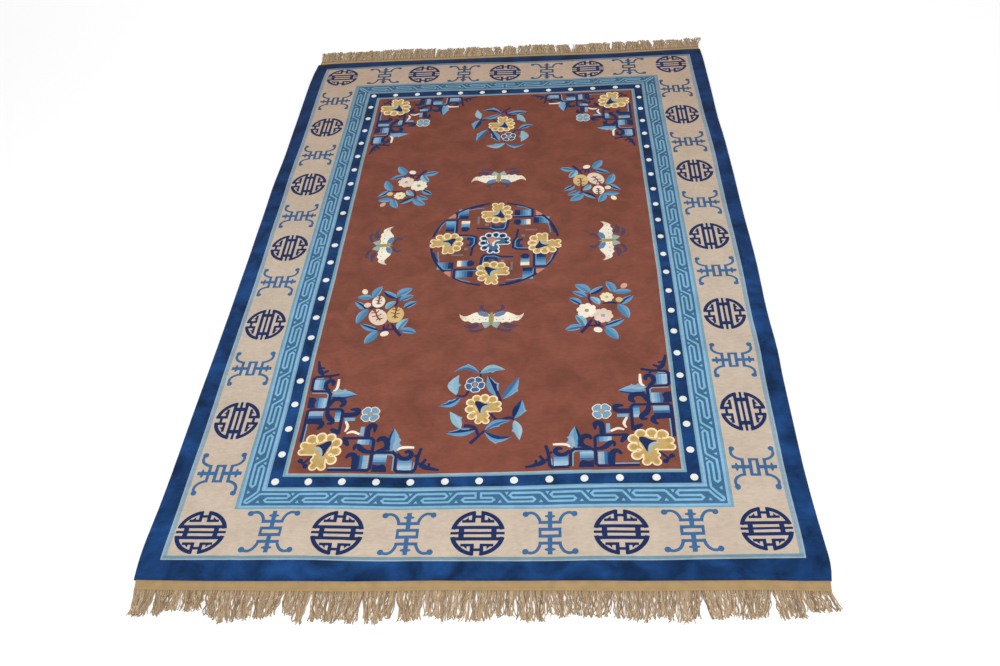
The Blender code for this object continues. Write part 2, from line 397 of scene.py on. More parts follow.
def in_mm(points):
    """Points given in millimetres, in metres."""
    return [(x * MM, y * MM) for x, y in points]


def lobe(angle, distance, radius):
    """A round lobe at an angle and distance from a flower's middle, in millimetres."""
    a = math.radians(angle)
    return disc(distance * MM * math.cos(a), distance * MM * math.sin(a), radius * MM, 12)


def lobes(rows, turn, petal, rim, thick=LOBE_RIM):
    """Lobes that share one rim: first the rim's yarn, then the petal's inside it."""
    return [(rim, [lobe(a + turn, d, r) for a, d, r in rows]),
            (petal, [lobe(a + turn, d, r - thick) for a, d, r in rows])]


def small_disc(x, y, radius):
    """A round outline given in millimetres."""
    return disc(x * MM, y * MM, radius * MM, 12)


def smooth_strip(points, widths):
    """A curved strip from points and widths in millimetres."""
    smooth = curve([(x, y, w) for (x, y), w in zip(points, widths)], 4)
    return ribbon(in_mm([p[:2] for p in smooth]), [p[2] * MM for p in smooth])


def blossom(kind, petal="gold", core="old gold", rim="cream", heart="deep navy", crescent="grey blue"):
    """The large flower, its two large petals at +x and -y."""
    size = BLOSSOM_SIZES[kind]
    figure = [(rim, [small_disc(*RIM_GROUND)])]
    cores = []
    necks = []
    for x, y, radius in LOBES:
        figure.append((rim, [small_disc(x, y, radius)]))
        figure.append((petal, [small_disc(x * 0.98, y * 0.98, radius - LOBE_RIM)]))
        cores.append(small_disc(x * 0.94, y * 0.94, radius - LOBE_CORE))
        necks.append(ribbon(in_mm([(x * 0.40, y * 0.40), (x * 0.90, y * 0.90)]), radius * 0.75 * MM))
    for pair, (x0, y0, x1, y1) in zip(LARGE_PETALS, PETAL_BODIES):
        figure.append((rim, [small_disc(x, y, r) for x, y, r in pair] + [in_mm(box(x0, y0, x1, y1))]))
        inner = box(x0 + LOBE_RIM, y0 + LOBE_RIM, x1 - LOBE_RIM, y1 - LOBE_RIM)
        figure.append((petal, [small_disc(x, y, r - LOBE_RIM) for x, y, r in pair] + [in_mm(inner)]))
        cores += [small_disc(x * 0.92, y * 0.92, PETAL_CORE) for x, y, _ in pair[:2]]
    figure.append((petal, [small_disc(*PETAL_GROUND)] + necks))
    figure.append((core, cores))
    figure.append((heart, [in_mm(HEART)]))
    figure.append((crescent, [smooth_strip(CRESCENT, CRESCENT_WIDTHS)]))
    figure.append((rim, [smooth_strip(points, (GLINT_WIDTH,) * len(points)) for points in GLINTS]))
    return [(yarn, [[(size * x, size * y) for x, y in outline] for outline in outlines])
            for yarn, outlines in figure]


def floweret(petals, distance, radius, petal, rim, middle, start=90.0):
    """A small flower of even petals, each of two lobes side by side."""
    figure = []
    spread = 200.0 / petals
    for i in range(petals):
        pair = [(side * spread / 4.0, distance, radius) for side in (-1, 1)]
        figure += lobes(pair, start + 360.0 * i / petals, petal, rim, FLOWERET_RIM)
    figure += lobes([(0.0, 0.0, distance * 0.3 + LOBE_RIM)], 0.0, middle, petal)
    return figure


def moved(figure, at, turn=0.0, flip=False):
    """A figure of several yarns at its place."""
    return [(yarn, placed(outlines, at, turn, flip)) for yarn, outlines in figure]


def knot_figure(figure, at, turn=0.0, flip=False):
    """Knots a figure of several yarns at its place."""
    for yarn, outlines in figure:
        knot(yarn, placed(outlines, at, turn, flip))


# The medallion
# A ring of navy lines in the middle of the field, held by four large blossoms round a blue one.
# One quarter is turned four times, with blocks of blue shading inside it.
MEDALLION_RADIUS = 0.2400
MEDALLION_LINE = 0.0090
INNER_LINE = 0.0038
MEDALLION_MIDDLE = (0.0000, -0.0085)
# The middles of the four blossoms, and how far each is turned in degrees
MEDALLION_FLOWERS = ((184, -20, 90), (1, 166, 180), (-179, -9, 270), (1, -176, 0))
MIDDLE_FLOWER = (0.001, -0.010)
# The broken ring of one quarter: how far inside, how wide, and from where to where in degrees
QUARTER_ARCS = ((0.0, MEDALLION_LINE, 144.5, 170.0, 6), (0.0, MEDALLION_LINE, 186.0, 222.0, 8),
                (0.006, MEDALLION_LINE, 192.0, 206.0, 4))
QUARTER_ROSE = ((-186, -152), (-152, -152), (-150, -186))
QUARTER_STEM = ((-186, -151), (-146, -150))
# Bent lines of one quarter, in millimetres from the medallion's middle
QUARTER_BAND = ((-193, 139), (-147, 138), (-146, 58), (-134, 47), (-84, 42), (-69, 34), (-69, -4),
                (-80, -23), (-84, -72))
QUARTER_LIGHT = ((-214, 78), (-205, 108), (-190, 131), (-154, 131), (-153, 56), (-138, 39), (-88, 35),
                 (-76, 29), (-76, -3), (-86, -21))
LOWER_LIGHT = ((-207, -48), (-205, -72), (-197, -110), (-176, -143), (-150, -144))
# Small blocks of one yarn, from and to
QUARTER_PATCHES = (
    ("deep navy", (-0.094, -0.126, -0.068, -0.104)),
    ("navy", (-0.104, -0.016, -0.079, 0.035)),
    ("field brown", (-0.104, -0.004, -0.094, 0.016)),
)
QUARTER_DASHES = ((-0.156, -0.070, -0.112, -0.063), (-0.110, -0.040, -0.098, -0.027))
# Blocks of shading: x, y, the step's size in x and in y, and the steps' yarns
SHADES = ("mist blue", "leaf blue", "leaf teal", "scroll blue", "navy", "deep navy")
QUARTER_BLOCKS = (
    ("down", -189, 130, 40, 10, SHADES),
    ("right", -203, -144, 10, 38, SHADES),
    ("right", -131, -130, 8, 32,
     ("ivory", "cream", "mist blue", "leaf blue", "leaf teal", "navy", "deep navy")),
)


def shaded_block(way, x, y, wide, high, yarns):
    """Steps of shading side by side, downwards from y or to the right from x."""
    figure = []
    for i, yarn in enumerate(yarns):
        if way == "down":
            corners = (x, y - (i + 1) * high, x + wide, y - i * high)
        else:
            corners = (x + i * wide, y, x + (i + 1) * wide, y + high)
        figure.append((yarn, [box(*[c * MM for c in corners])]))
    return figure


def medallion_quarter():
    figure = [("rose", [in_mm(QUARTER_ROSE)])]
    for row in QUARTER_BLOCKS:
        figure += shaded_block(*row)
    ring = [ring_part(MEDALLION_RADIUS - inside, *row) for inside, *row in QUARTER_ARCS]
    figure.append(("deep navy", ring + bent_line(in_mm(QUARTER_BAND), MEDALLION_LINE)))
    figure.append(("deep navy", bent_line(in_mm(QUARTER_STEM), MEDALLION_LINE * 0.8)))
    figure += [(yarn, [box(*corners)]) for yarn, corners in QUARTER_PATCHES]
    for line in (QUARTER_LIGHT, LOWER_LIGHT):
        figure.append(("leaf blue", bent_line(in_mm(line), INNER_LINE)))
    figure.append(("faded blue", [box(*corners) for corners in QUARTER_DASHES]))
    return figure


for turn in (0.0, 90.0, 180.0, 270.0):
    knot_figure(medallion_quarter(), MEDALLION_MIDDLE, turn)
for x, y, turn in MEDALLION_FLOWERS:
    knot_figure(blossom("medallion"), (x * MM, y * MM), turn)
knot_figure(blossom("middle", "slate blue", "deep navy", "white", "rose", "ivory"), MIDDLE_FLOWER)

# The corner figures
# In each corner of the field navy lines and curls run out along both borders from a large
# blossom, with shaded blocks, leaves and ivory crescents. One half is mirrored in the diagonal.
CORNER_LINE = 0.0100
# Places of the large blossom and of the small flower, from the field's corner
CORNER_BLOSSOM = (0.0800, 0.0820)
CORNER_FLOWERET = (0.2175, 0.2195)
# How far each corner figure stands off, in millimetres to the right and towards the far end
CORNER_PLACES = {(-1, -1): (1, -3), (-1, 1): (2, 4), (1, -1): (8, 0), (1, 1): (-1, -1)}
# Smooth navy curls: the points in millimetres from the field's corner, and their widths
CORNER_CURLS = (
    (((240, 78), (222, 80), (207, 89), (197, 100), (187, 98), (186, 84)), (12, 16, 19, 17, 14, 6)),
    (((165, 56), (176, 68), (189, 66), (195, 48), (196, 14)), (8, 15, 19, 21, 19)),
    (((219, 128), (219, 158), (224, 174), (238, 174), (240, 150)), (19, 18, 19, 18, 6)),
    (((252, 114), (260, 125), (275, 124), (284, 108), (279, 90), (254, 78)), (8, 17, 19, 18, 17, 13)),
    (((317, 72), (330, 58), (348, 56), (360, 67), (353, 79), (338, 77)), (11, 14, 15, 15, 14, 8)),
    (((375, 18), (378, 40), (380, 62), (386, 86)), (10, 11, 11, 9)),
    (((380, 58), (374, 63), (369, 67)), (8, 9, 7)),
    (((379, 40), (391, 36), (398, 43), (402, 50)), (10, 10, 10, 8)),
    (((388, 33), (400, 26), (413, 22), (427, 18), (441, 15)), (11, 15, 14, 11, 7)),
    (((412, 24), (416, 31), (415, 35)), (8, 8, 7)),
    (((144, 129), (154, 118), (166, 100)), (14, 19, 9)),
    (((64, 62), (50, 49), (38, 38)), (5, 6, 7)),
    (((28, 47), (38, 38)), (9, 8)),
)
# Round knobs at the ends of curls: place and radius
CORNER_KNOBS = ((28, 47, 8.5), (386, 86, 6.0), (415, 35, 4.5), (400, 28, 8.5), (402, 50, 5.0),
                (442, 15, 4.5))
CORNER_HOOK = ((248, 9), (292, 9), (290, 26), (280, 36), (262, 31), (248, 36))
CORNER_LINES = (
    ((117, 15), (234, 14), (242, 22), (242, 120), (234, 128), (144, 129)),
    ((246, 76), (305, 76), (314, 68), (315, 20), (323, 12), (369, 11), (377, 20)),
)
CORNER_LIGHTS = (
    ((117, 22), (206, 22)),
    ((252, 69), (301, 69), (308, 62), (309, 15)),
    ((369, 20), (371, 42)),
)
CORNER_BLOCKS = (
    ("right", 199, 20, 9, 46, ("navy", "scroll blue", "mist blue", "pale grey")),
    ("right", 193, 105, 12, 19, ("pale blue", "mist blue", "leaf blue", "scroll blue")),
    ("down", 248, 67, 40, 8, ("pale blue", "mist blue", "leaf blue", "scroll blue")),
    ("down", 322, 56, 42, 8, ("scroll blue", "leaf blue", "mist blue", "pale blue", "pale blue")),
)
# Base, tip, bow and width of each leaf in millimetres, the yarns of its two sides, and its barb
CORNER_LEAVES = (
    ((292, 80), (298, 165), -6, 36, "navy", "leaf blue", 1.1),
    ((298, 80), (300, 162), -6, 27, "leaf blue", "mist blue", 1.5),
    ((311, 78), (316, 128), 2, 20, "pale grey", "mist blue", 1.6),
)
CORNER_PETAL = (0.195, 0.138, 0.207, 0.172)
CORNER_CRESCENTS = (((316, 84), (329, 94), (366, 94)), ((154, 147), (172, 153), (194, 143)))
CRESCENT_STROKE = (5.0, 9.5, 7.0)


def leaf(base, tip, bow, width, one_side, other_side, barb=1.4, fullness=1.0, lit="mist blue"):
    """A leaf of two yarns, split along its spine, with a barb and a lighter edge."""
    (ax, ay), (bx, by) = base, tip
    length = math.hypot(bx - ax, by - ay)
    nx, ny = -(by - ay) / length, (bx - ax) / length
    spine = []
    for i in range(11):
        t = i / 10.0
        rise = bow * math.sin(math.pi * t)
        spine.append((ax + (bx - ax) * t + nx * rise, ay + (by - ay) * t + ny * rise))
    figure = []
    for yarn, side in ((one_side, 1.0), (other_side, -1.0)):
        edge = []
        for i, (x, y) in enumerate(spine):
            t = i / 10.0
            spread = side * 0.5 * width * math.sin(math.pi * t ** 0.85) ** fullness
            if side < 0.0 and i == 5:
                spread *= barb
            edge.append((x + nx * spread, y + ny * spread))
        figure.append((yarn, [in_mm(spine + edge[::-1])]))
        if side < 0.0:
            rim = [(x + (sx - x) * 0.30, y + (sy - y) * 0.30) for (x, y), (sx, sy) in zip(edge, spine)]
            figure.append((lit, [in_mm(edge[2:-1] + rim[2:-1][::-1])]))
    return figure


def corner_half():
    figure = []
    for row in CORNER_BLOCKS:
        figure += shaded_block(*row)
    figure.append(("deep navy", [in_mm(CORNER_HOOK)]))
    for row in CORNER_LEAVES:
        figure += leaf(*row)
    for line in CORNER_LINES:
        figure.append(("deep navy", bent_line(in_mm(line), CORNER_LINE)))
    for line in CORNER_LIGHTS:
        figure.append(("mist blue", bent_line(in_mm(line), INNER_LINE)))
    for points, widths in CORNER_CURLS:
        figure.append(("deep navy", [smooth_strip(points, widths)]))
    figure.append(("deep navy", [small_disc(x, y, radius) for x, y, radius in CORNER_KNOBS]))
    figure.append(("mist blue", [box(*CORNER_PETAL)]))
    for points in CORNER_CRESCENTS:
        figure.append(("ivory", [smooth_strip(points, CRESCENT_STROKE)]))
    return figure


def corner_figure():
    """Both halves, the blossom and the small flower, from the near left corner of the field."""
    half = corner_half()
    other = [(yarn, [[(y, x) for x, y in outline] for outline in outlines]) for yarn, outlines in half]
    small = floweret(4, 19.5, 13.2, "faded sky", "ivory", "old gold", 45.0)
    return half + other + moved(blossom("corner"), CORNER_BLOSSOM, 0.0, True) + moved(small, CORNER_FLOWERET)


for (side_x, side_y), (off_x, off_y) in CORNER_PLACES.items():
    corner = (side_x * FIELD_CORNER[0] + off_x * MM, side_y * FIELD_CORNER[1] + off_y * MM)
    # Turned by half a circle at the far end, and mirrored in one corner of each end
    knot_figure(corner_figure(), corner, 0.0 if side_y < 0 else 180.0, side_x != side_y)

# The sprays
# Branches in flower between the medallion and the corners. Two large ones carry a blossom, and
# four smaller ones carry either three split fruits or three round flowers. Their leaves are
# shaded in two blues on plum twigs.
LARGE_SPRAYS = ((0, -801, 0), (-2, 787, 180))
SPRAY_BLOSSOM = (0.000, 0.003)
SPRAY_FLOWERET = (-0.033, 0.102)
# Base, tip, bow and width of each leaf in millimetres, and the yarns of its two sides
LARGE_SPRAY_LEAVES = (
    ((-20, 148), (-106, 156), -22, 22, "scroll blue", "leaf blue"),
    ((-20, 148), (61, 162), 15, 30, "aqua", "leaf blue"),
    ((-89, 60), (-86, 143), 14, 36, "pale blue", "aqua"),
    ((38, 54), (5, 138), 0, 34, "leaf blue", "deep navy"),
    ((58, 41), (105, 128), -4, 32, "scroll blue", "leaf blue"),
    ((-74, 50), (-143, 17), 11, 25, "leaf blue", "navy"),
    ((-68, -73), (-105, -6), -3, 30, "aqua", "pale blue"),
    ((-21, -79), (-114, -90), 4, 28, "leaf blue", "navy"),
    ((5, -86), (92, -106), -19, 26, "navy", "leaf blue"),
    ((5, -82), (88, -46), 12, 24, "leaf blue", "scroll blue"),
    ((94, -38), (117, 38), -4, 36, "navy", "leaf blue"),
    ((96, -44), (113, -120), 3, 28, "pale blue", "aqua"),
)
LARGE_SPRAY_TWIGS = (
    (((-50, 84), (-61, 56), (-89, 57)), (8, 9, 6)),
    (((-35, -129), (-8, -98), (10, -79)), (12, 9, 7)),
    (((-59, -62), (-28, -68), (-12, -98)), (12, 13, 9)),
    (((22, -16), (45, -42), (80, -33), (97, -42)), (8, 9, 10, 8)),
    (((54, 28), (46, 50), (34, 92)), (8, 9, 4)),
    (((-16, 112), (-18, 150), (-22, 160)), (9, 5, 3)),
)
# Middle in millimetres, turn in degrees, and whether it bears fruit
SIDE_SPRAYS = ((-359, -372, 0, True), (368, -373, 0, False), (-361, 353, 180, False),
               (360, 352, 180, True))
SIDE_SPRAY_LEAVES = (
    ((-57, 80), (-31, 138), 5, 30, "leaf blue", "leaf teal"),
    ((-58, 82), (-114, 85), -1, 27, "leaf teal", "leaf blue"),
    ((-78, 22), (-119, 64), -2, 24, "leaf blue", "navy"),
    ((-68, 24), (-97, -46), -4, 32, "leaf teal", "leaf blue"),
    ((-18, -80), (-84, -48), 3, 25, "leaf blue", "navy"),
    ((-20, -84), (-57, -142), 0, 34, "leaf teal", "leaf blue"),
    ((28, 75), (-24, 113), 2, 26, "navy", "leaf blue"),
    ((25, 84), (78, 124), 4, 34, "leaf blue", "leaf teal"),
    ((38, 62), (88, 87), 4, 26, "leaf blue", "scroll blue"),
    ((57, 25), (101, 56), 4, 26, "leaf blue", "navy"),
    ((-5, 22), (26, 60), 5, 25, "aqua", "leaf blue"),
    ((48, -76), (79, -26), 5, 31, "aqua", "leaf teal"),
    ((56, -78), (114, -94), 4, 29, "leaf blue", "scroll blue"),
)
SIDE_SPRAY_TWIGS = (
    (((28, 76), (31, 52), (24, 28)), (4, 7, 5)),
    (((-64, 27), (-40, 31), (-16, 26)), (8, 9, 5)),
    (((62, -108), (40, -76), (24, -48)), (11, 12, 7)),
    (((1, -52), (0, -70), (12, -76), (36, -74)), (5, 9, 8, 7)),
    (((-14, -80), (6, -76), (16, -50)), (5, 8, 4)),
    (((-78, 98), (-66, 90), (-58, 84)), (5, 7, 5)),
)
# Buds: place and radii in millimetres, and their yarns with fruits and with flowers
SIDE_SPRAY_BUDS = ((-91, 113, 10, 14, ("cream", "pale rose")), (-72, 44, 12, 12, ("blush", "pale gold")),
                   (6, -96, 15, 12, ("ivory", "ivory")))
# Split fruits: place, radii and turn in degrees, then their yarn
FRUITS = ((-35, 59, 23, 29, 0, "ivory"), (-27, -16, 31, 41, 27, "blush"),
          (32, -7, 30, 38, 0, "pale gold"))
# The notch and the veins of a fruit, as shares of its radii
FRUIT_NOTCH = ((-0.24, 1.08), (0.24, 1.08), (0.05, 0.55), (-0.05, 0.55))
FRUIT_SPINE = ((0, 1.02), (0.02, 0.55), (-0.05, 0.1), (0.05, -0.45))
FRUIT_VEINS = (((0, 0.6), (-0.45, 0.75)), ((0, 0.5), (0.45, 0.7)), ((0, 0.15), (-0.55, 0.3)),
               ((0, 0.1), (0.5, 0.2)), ((0, -0.15), (-0.35, -0.3)), ((0.02, -0.2), (0.4, -0.35)))
SPINE_WIDTH = 6.0
VEIN_WIDTH = 4.4
# Round flowers: place and size, and the yarns of the petals and the middle
ROUND_FLOWERS = ((-31, 58, 24, "straw", "gold"), (40, -5, 35, "ivory", "olive"),
                 (-14, -30, 34, "blush", "lilac"))


def oval(x, y, across, along, turn=0.0):
    """An oval outline given in millimetres."""
    made = [(across * MM * px, along * MM * py) for px, py in arc(1.0, 0.0, 342.0, 19)]
    return placed([made], (x * MM, y * MM), turn)[0]


def leafy(leaves, twigs, **shape):
    """Twigs with their leaves over them."""
    figure = [("plum", [smooth_strip(points, widths)]) for points, widths in twigs]
    for row in leaves:
        figure += leaf(*row, **shape)
    return figure


def large_spray():
    small = floweret(5, 21.0, 12.0, "scroll blue", "ivory", "rose", 60.0)
    return (leafy(LARGE_SPRAY_LEAVES, LARGE_SPRAY_TWIGS) + moved(small, SPRAY_FLOWERET)
            + moved(blossom("spray"), SPRAY_BLOSSOM))


def split_fruit(x, y, across, along, turn, yarn):
    """An oval fruit, cut open at the top, with brown veins from its spine."""
    def in_fruit(points):
        return [(across * px * MM, along * py * MM) for px, py in points]

    brown = [in_fruit(FRUIT_NOTCH), ribbon(in_fruit(FRUIT_SPINE), SPINE_WIDTH * MM)]
    brown += [ribbon(in_fruit(vein), VEIN_WIDTH * MM) for vein in FRUIT_VEINS]
    return [(yarn, [oval(x, y, across, along, turn)]),
            ("field brown", placed(brown, (x * MM, y * MM), turn))]


def round_flower(x, y, size, petal, middle):
    """A flower of eight even lobes."""
    round_lobes = [lobe(i * 45.0 + 10.0, size * 0.68, size * 0.33) for i in range(8)]
    petals = placed(round_lobes + [disc(0.0, 0.0, size * 0.72 * MM)], (x * MM, y * MM))
    return [(petal, petals), (middle, [disc(x * MM, y * MM, size * 0.22 * MM)])]


def side_spray(fruiting):
    figure = leafy(SIDE_SPRAY_LEAVES, SIDE_SPRAY_TWIGS, barb=1.0, fullness=0.7)
    for x, y, across, along, yarns in SIDE_SPRAY_BUDS:
        figure.append((yarns[0 if fruiting else 1], [oval(x, y, across, along, 25.0)]))
    for row in FRUITS if fruiting else ROUND_FLOWERS:
        figure += split_fruit(*row) if fruiting else round_flower(*row)
    return figure


for x, y, turn in LARGE_SPRAYS:
    knot_figure(large_spray(), (x * MM, y * MM), turn)
for x, y, turn, fruiting in SIDE_SPRAYS:
    knot_figure(side_spray(fruiting), (x * MM, y * MM), turn, not fruiting)

# The butterflies
# Four butterflies fly towards the medallion, with ivory wings spotted in slate blue, blue and
# pale green patches, an olive body and faint plum curls round them.
BUTTERFLIES = ((5, -409, 0), (0, 396, 180), (-416, -8, -90), (419, -13, 90))
# One wing's outline in millimetres from the middle of the body, its head at +y
WING = ((0, 14), (12, 28), (36, 37), (58, 31), (72, 22), (84, 15), (96, 15), (104, 20), (110, 27),
        (107, 12), (99, -2), (90, -10), (76, -9), (64, -18), (52, -14), (38, -18), (28, -13), (0, -14))
WING_TIP = ((84, 15), (96, 15), (104, 20), (110, 27), (107, 12), (99, -2), (92, 4))
WING_PATCH = ((8, 12), (11, 27), (36, 37), (50, 34), (42, 19), (24, 11))
TAIL = ((2, -26), (6, -14), (28, -14), (31, -19), (25, -32), (20, -42), (10, -36))
BODY = ((0, 36), (6, 24), (9, 8), (8, -12), (4, -24), (0, -28))
WING_SPOTS = ((18, -3), (40, -2), (61, -3), (86, 3))
WING_SPOT_RADIUS = 2.2
BUTTERFLY_CURLS = (
    (((8, 38), (24, 42), (38, 54), (30, 68)), (4, 8, 12, 9)),
    (((42, -25), (62, -34), (92, -31)), (14, 20, 4)),
    (((22, -44), (38, -53), (60, -56), (70, -46)), (6, 12, 12, 4)),
)


def butterfly():
    figure = []
    for side in (-1.0, 1.0):
        for points, widths in BUTTERFLY_CURLS:
            figure.append(("faded plum", [smooth_strip([(side * x, y) for x, y in points], widths)]))
        for yarn, shape in (("mist green", TAIL), ("ivory", WING), ("blush", WING_TIP),
                            ("smoke blue", WING_PATCH)):
            figure.append((yarn, [in_mm([(side * x, y) for x, y in shape])]))
        for x, y in WING_SPOTS:
            figure.append(("slate blue", [disc(side * x * MM, y * MM, WING_SPOT_RADIUS * MM, 8)]))
        figure.append(("olive", [in_mm([(side * x, y) for x, y in BODY])]))
    return figure


for x, y, turn in BUTTERFLIES:
    knot_figure(butterfly(), (x * MM, y * MM), turn)

# The wool
# Hand-spun sheep's wool, dyed in the hank and cut level after knotting. It gives a matt surface
# with a soft sheen, where each dye lot and the single tufts show. The lie of the pile is painted into
# the colour as lighter and darker patches of sheen and shade, and the far end is painted in deeper shade.
YARNS = {
    "navy": "#123460",
    "pale blue": "#90abbd",
    "teal": "#6b909f",
    "beige": "#b4a594",
    "slate blue": "#38607f",
    "field brown": "#744336",
    "deep navy": "#1a2850",
    "scroll blue": "#385d86",
    "sky blue": "#75a3bf",
    "ivory": "#dbd2c0",
    "gold": "#b3955c",
    "old gold": "#a98b50",
    "rose": "#b07c70",
    "cream": "#dccba6",
    "plum": "#292650",
    "faded plum": "#4a3b52",
    "aqua": "#7ca6b2",
    "leaf blue": "#5a88aa",
    "leaf teal": "#447696",
    "lilac": "#918e9f",
    "faded blue": "#6b6f78",
    "pale gold": "#bfa56e",
    "faded sky": "#6d8fa6",
    "pale grey": "#8c9ca6",
    "dull teal": "#67838f",
    "light blue": "#7ba2bf",
    "mist blue": "#7398b2",
    "blush": "#cfbcab",
    "pale rose": "#bd9684",
    "straw": "#d3caa6",
    "olive": "#8f8655",
    "smoke blue": "#527594",
    "mist green": "#8a9f9a",
    "white": "#d3d3ce",
    "grey blue": "#8aa4ae",
    "soft teal": "#7c929f",
}
# Towards the far end the same yarns are painted deeper and duller: a painted shade where less light falls
FAR_SHADED_YARNS = {
    "navy": "#092449",
    "deep navy": "#1b2549",
    "pale grey": "#7a828f",
    "dull teal": "#5d6c77",
    "light blue": "#6b7d8c",
    "teal": "#627c88",
    "beige": "#a8927f",
    "slate blue": "#335268",
    "sky blue": "#698b9d",
    "scroll blue": "#33455c",
    "field brown": "#6c382a",
    "pale blue": "#7f93a4",
    "soft teal": "#7b848e",
}
# Where that painted shade begins and where it is full, along the rug
FAR_SHADE_FROM = -0.20
FAR_SHADE_TO = 1.35
# A tuft is about 3.4 mm across, 90 knots to the foot. Its marks are drawn twice as coarse, as
# single tufts don't show from here.
TUFT = 3.4 * MM
TUFT_MARK = 2.0 * TUFT
# Painted patches of sheen and shade, for the lie of the pile, are about 90 mm across, and dye lots
# run 1.1 m across and 110 mm along
SHEEN_PATCH = 1.0 / 11.0
DYE_LOT = (1.0 / 0.9, 1.0 / 9.0)
# How far the painted sheen and shade of the pile's lie, and half as far the dye lots, change each
# yarn's shade; the dark dyes show it most
SHEEN_AND_LOT_SHIFT = {"navy": 0.50, "field brown": 0.15, "beige": 0.05}
SHEEN_AND_LOT_SHIFT_OTHERS = 0.08


def linear(colour):
    """An sRGB hex colour as linear red, green, blue and alpha."""
    values = [int(colour[i:i + 2], 16) / 255.0 for i in (1, 3, 5)]
    return [v / 12.92 if v <= 0.04045 else ((v + 0.055) / 1.055) ** 2.4 for v in values] + [1.0]


def add(tree, kind, settings=(), links=()):
    """Adds a node with its settings and the sockets that feed it."""
    node = tree.nodes.new(kind)
    for name, value in dict(settings).items():
        if isinstance(name, str) and hasattr(node, name):
            setattr(node, name, value)
        else:
            node.inputs[name].default_value = value
    for name, source in dict(links).items():
        tree.links.new(source, node.inputs[name])
    return node


def empty_material(name):
    """A material without nodes, and its tree."""
    material = bpy.data.materials.new(name)
    material.use_nodes = True
    material.node_tree.nodes.clear()
    return material, material.node_tree


def knotted_wool(name, colour, far_shaded_colour, sheen_and_lots):
    """Wool of one dye, matt and a little uneven in shade, with painted sheen patches and painted shade
    towards the far end.
    """
    material, tree = empty_material(name)
    place = add(tree, "ShaderNodeTexCoord").outputs["Object"]
    # The lie of the pile: soft patches painted darker and lighter, a painted sheen and shade where the
    # leaning pile catches more or less light
    sheen_patches = add(tree, "ShaderNodeTexNoise", {"Scale": 1.0 / SHEEN_PATCH, "Detail": 4.0,
                                               "Roughness": 0.60, "Distortion": 0.5}, {"Vector": place})
    # Dye lots and single rows of knots run across the rug
    across = add(tree, "ShaderNodeVectorMath",
                 {"operation": "MULTIPLY", 1: (1.0 / DYE_LOT[0], 1.0 / DYE_LOT[1], 1.0)}, {0: place})
    dye_lots = add(tree, "ShaderNodeTexNoise", {"Scale": 1.0, "Detail": 5.0, "Roughness": 0.65},
                   {"Vector": across.outputs[0]})
    # Tufts of one row close up sideways, so their marks are wider across the rug than along it
    rows = add(tree, "ShaderNodeVectorMath", {"operation": "MULTIPLY", 1: (0.4, 1.0, 1.0)}, {0: place})
    tufts = add(tree, "ShaderNodeTexNoise", {"Scale": 1.0 / TUFT_MARK, "Detail": 2.0},
                {"Vector": rows.outputs[0]})
    lie_sheen = add(tree, "ShaderNodeMapRange", {1: 0.34, 2: 0.66, 3: 1.0 - sheen_and_lots, 4: 1.0 + sheen_and_lots},
              {0: sheen_patches.outputs["Fac"]})
    lot = add(tree, "ShaderNodeMapRange", {1: 0.3, 2: 0.7, 3: 1.0 - sheen_and_lots / 2.0, 4: 1.0 + sheen_and_lots / 2.0},
              {0: dye_lots.outputs["Fac"]})
    speck = add(tree, "ShaderNodeMapRange", {1: 0.3, 2: 0.7, 3: 0.93, 4: 1.07}, {0: tufts.outputs["Fac"]})
    sheen_and_lot = add(tree, "ShaderNodeMath", {"operation": "MULTIPLY"}, {0: lie_sheen.outputs[0], 1: lot.outputs[0]})
    shade = add(tree, "ShaderNodeMath", {"operation": "MULTIPLY"}, {0: sheen_and_lot.outputs[0], 1: speck.outputs[0]})
    # Towards the far end each yarn is mixed into its darker far colour: painted shade
    along = add(tree, "ShaderNodeSeparateXYZ", links={0: place})
    far = add(tree, "ShaderNodeMapRange", {1: FAR_SHADE_FROM, 2: FAR_SHADE_TO}, {0: along.outputs["Y"]})
    yarn = add(tree, "ShaderNodeMix", {"data_type": "RGBA", 6: linear(colour), 7: linear(far_shaded_colour)},
               {0: far.outputs[0]})
    dyed = add(tree, "ShaderNodeVectorMath", {"operation": "SCALE"},
               {0: yarn.outputs[2], 3: shade.outputs[0]})
    raised = add(tree, "ShaderNodeBump", {"Strength": 0.5, "Distance": 0.4 * MM},
                 {"Height": tufts.outputs["Fac"]})
    wool = add(tree, "ShaderNodeBsdfPrincipled",
               {"Roughness": 0.95, "Specular IOR Level": 0.10, "Sheen Weight": 0.04,
                "Sheen Roughness": 0.5},
               {"Base Color": dyed.outputs[0], "Normal": raised.outputs[0]})
    add(tree, "ShaderNodeOutputMaterial", links={"Surface": wool.outputs[0]})
    return material


# The pile carpet
# The plan is knotted into one cloth: wool tufts on a cotton foundation, a centimetre thick, cut
# level on top and rounded at the rim. It lies on the floor by its flat cotton back.
STITCH_PITCH = 0.0250
# Creases left from folding: both ends, then depth and half width in millimetres
CREASES = (
    ((-0.905, 0.306), (0.905, 0.300), 0.9, 11.0),
    ((-0.905, -0.447), (0.560, -0.455), 0.7, 10.0),
    ((-0.141, 0.300), (-0.150, 1.360), 0.8, 10.0),
    ((0.338, -1.360), (0.345, -0.300), 0.8, 10.0),
    ((-0.463, -0.950), (-0.455, 0.100), 0.6, 9.0),
    ((0.420, 0.350), (0.415, 1.050), 0.6, 9.0),
)
CREASE_STEP = 0.0140
CREASE_FADE = 0.10
CREASE_WAVE = 17.0
# Rings of points round the rim, so far in from the edge
RIM_RINGS = (0.0, 0.0020, 0.0065)
MID_RIM = 0.0046
BACK_INSET = 0.0008
# From here outwards the cloth follows the wandering outline
BORDER_FROM = 0.70
END_FROM = 1.30
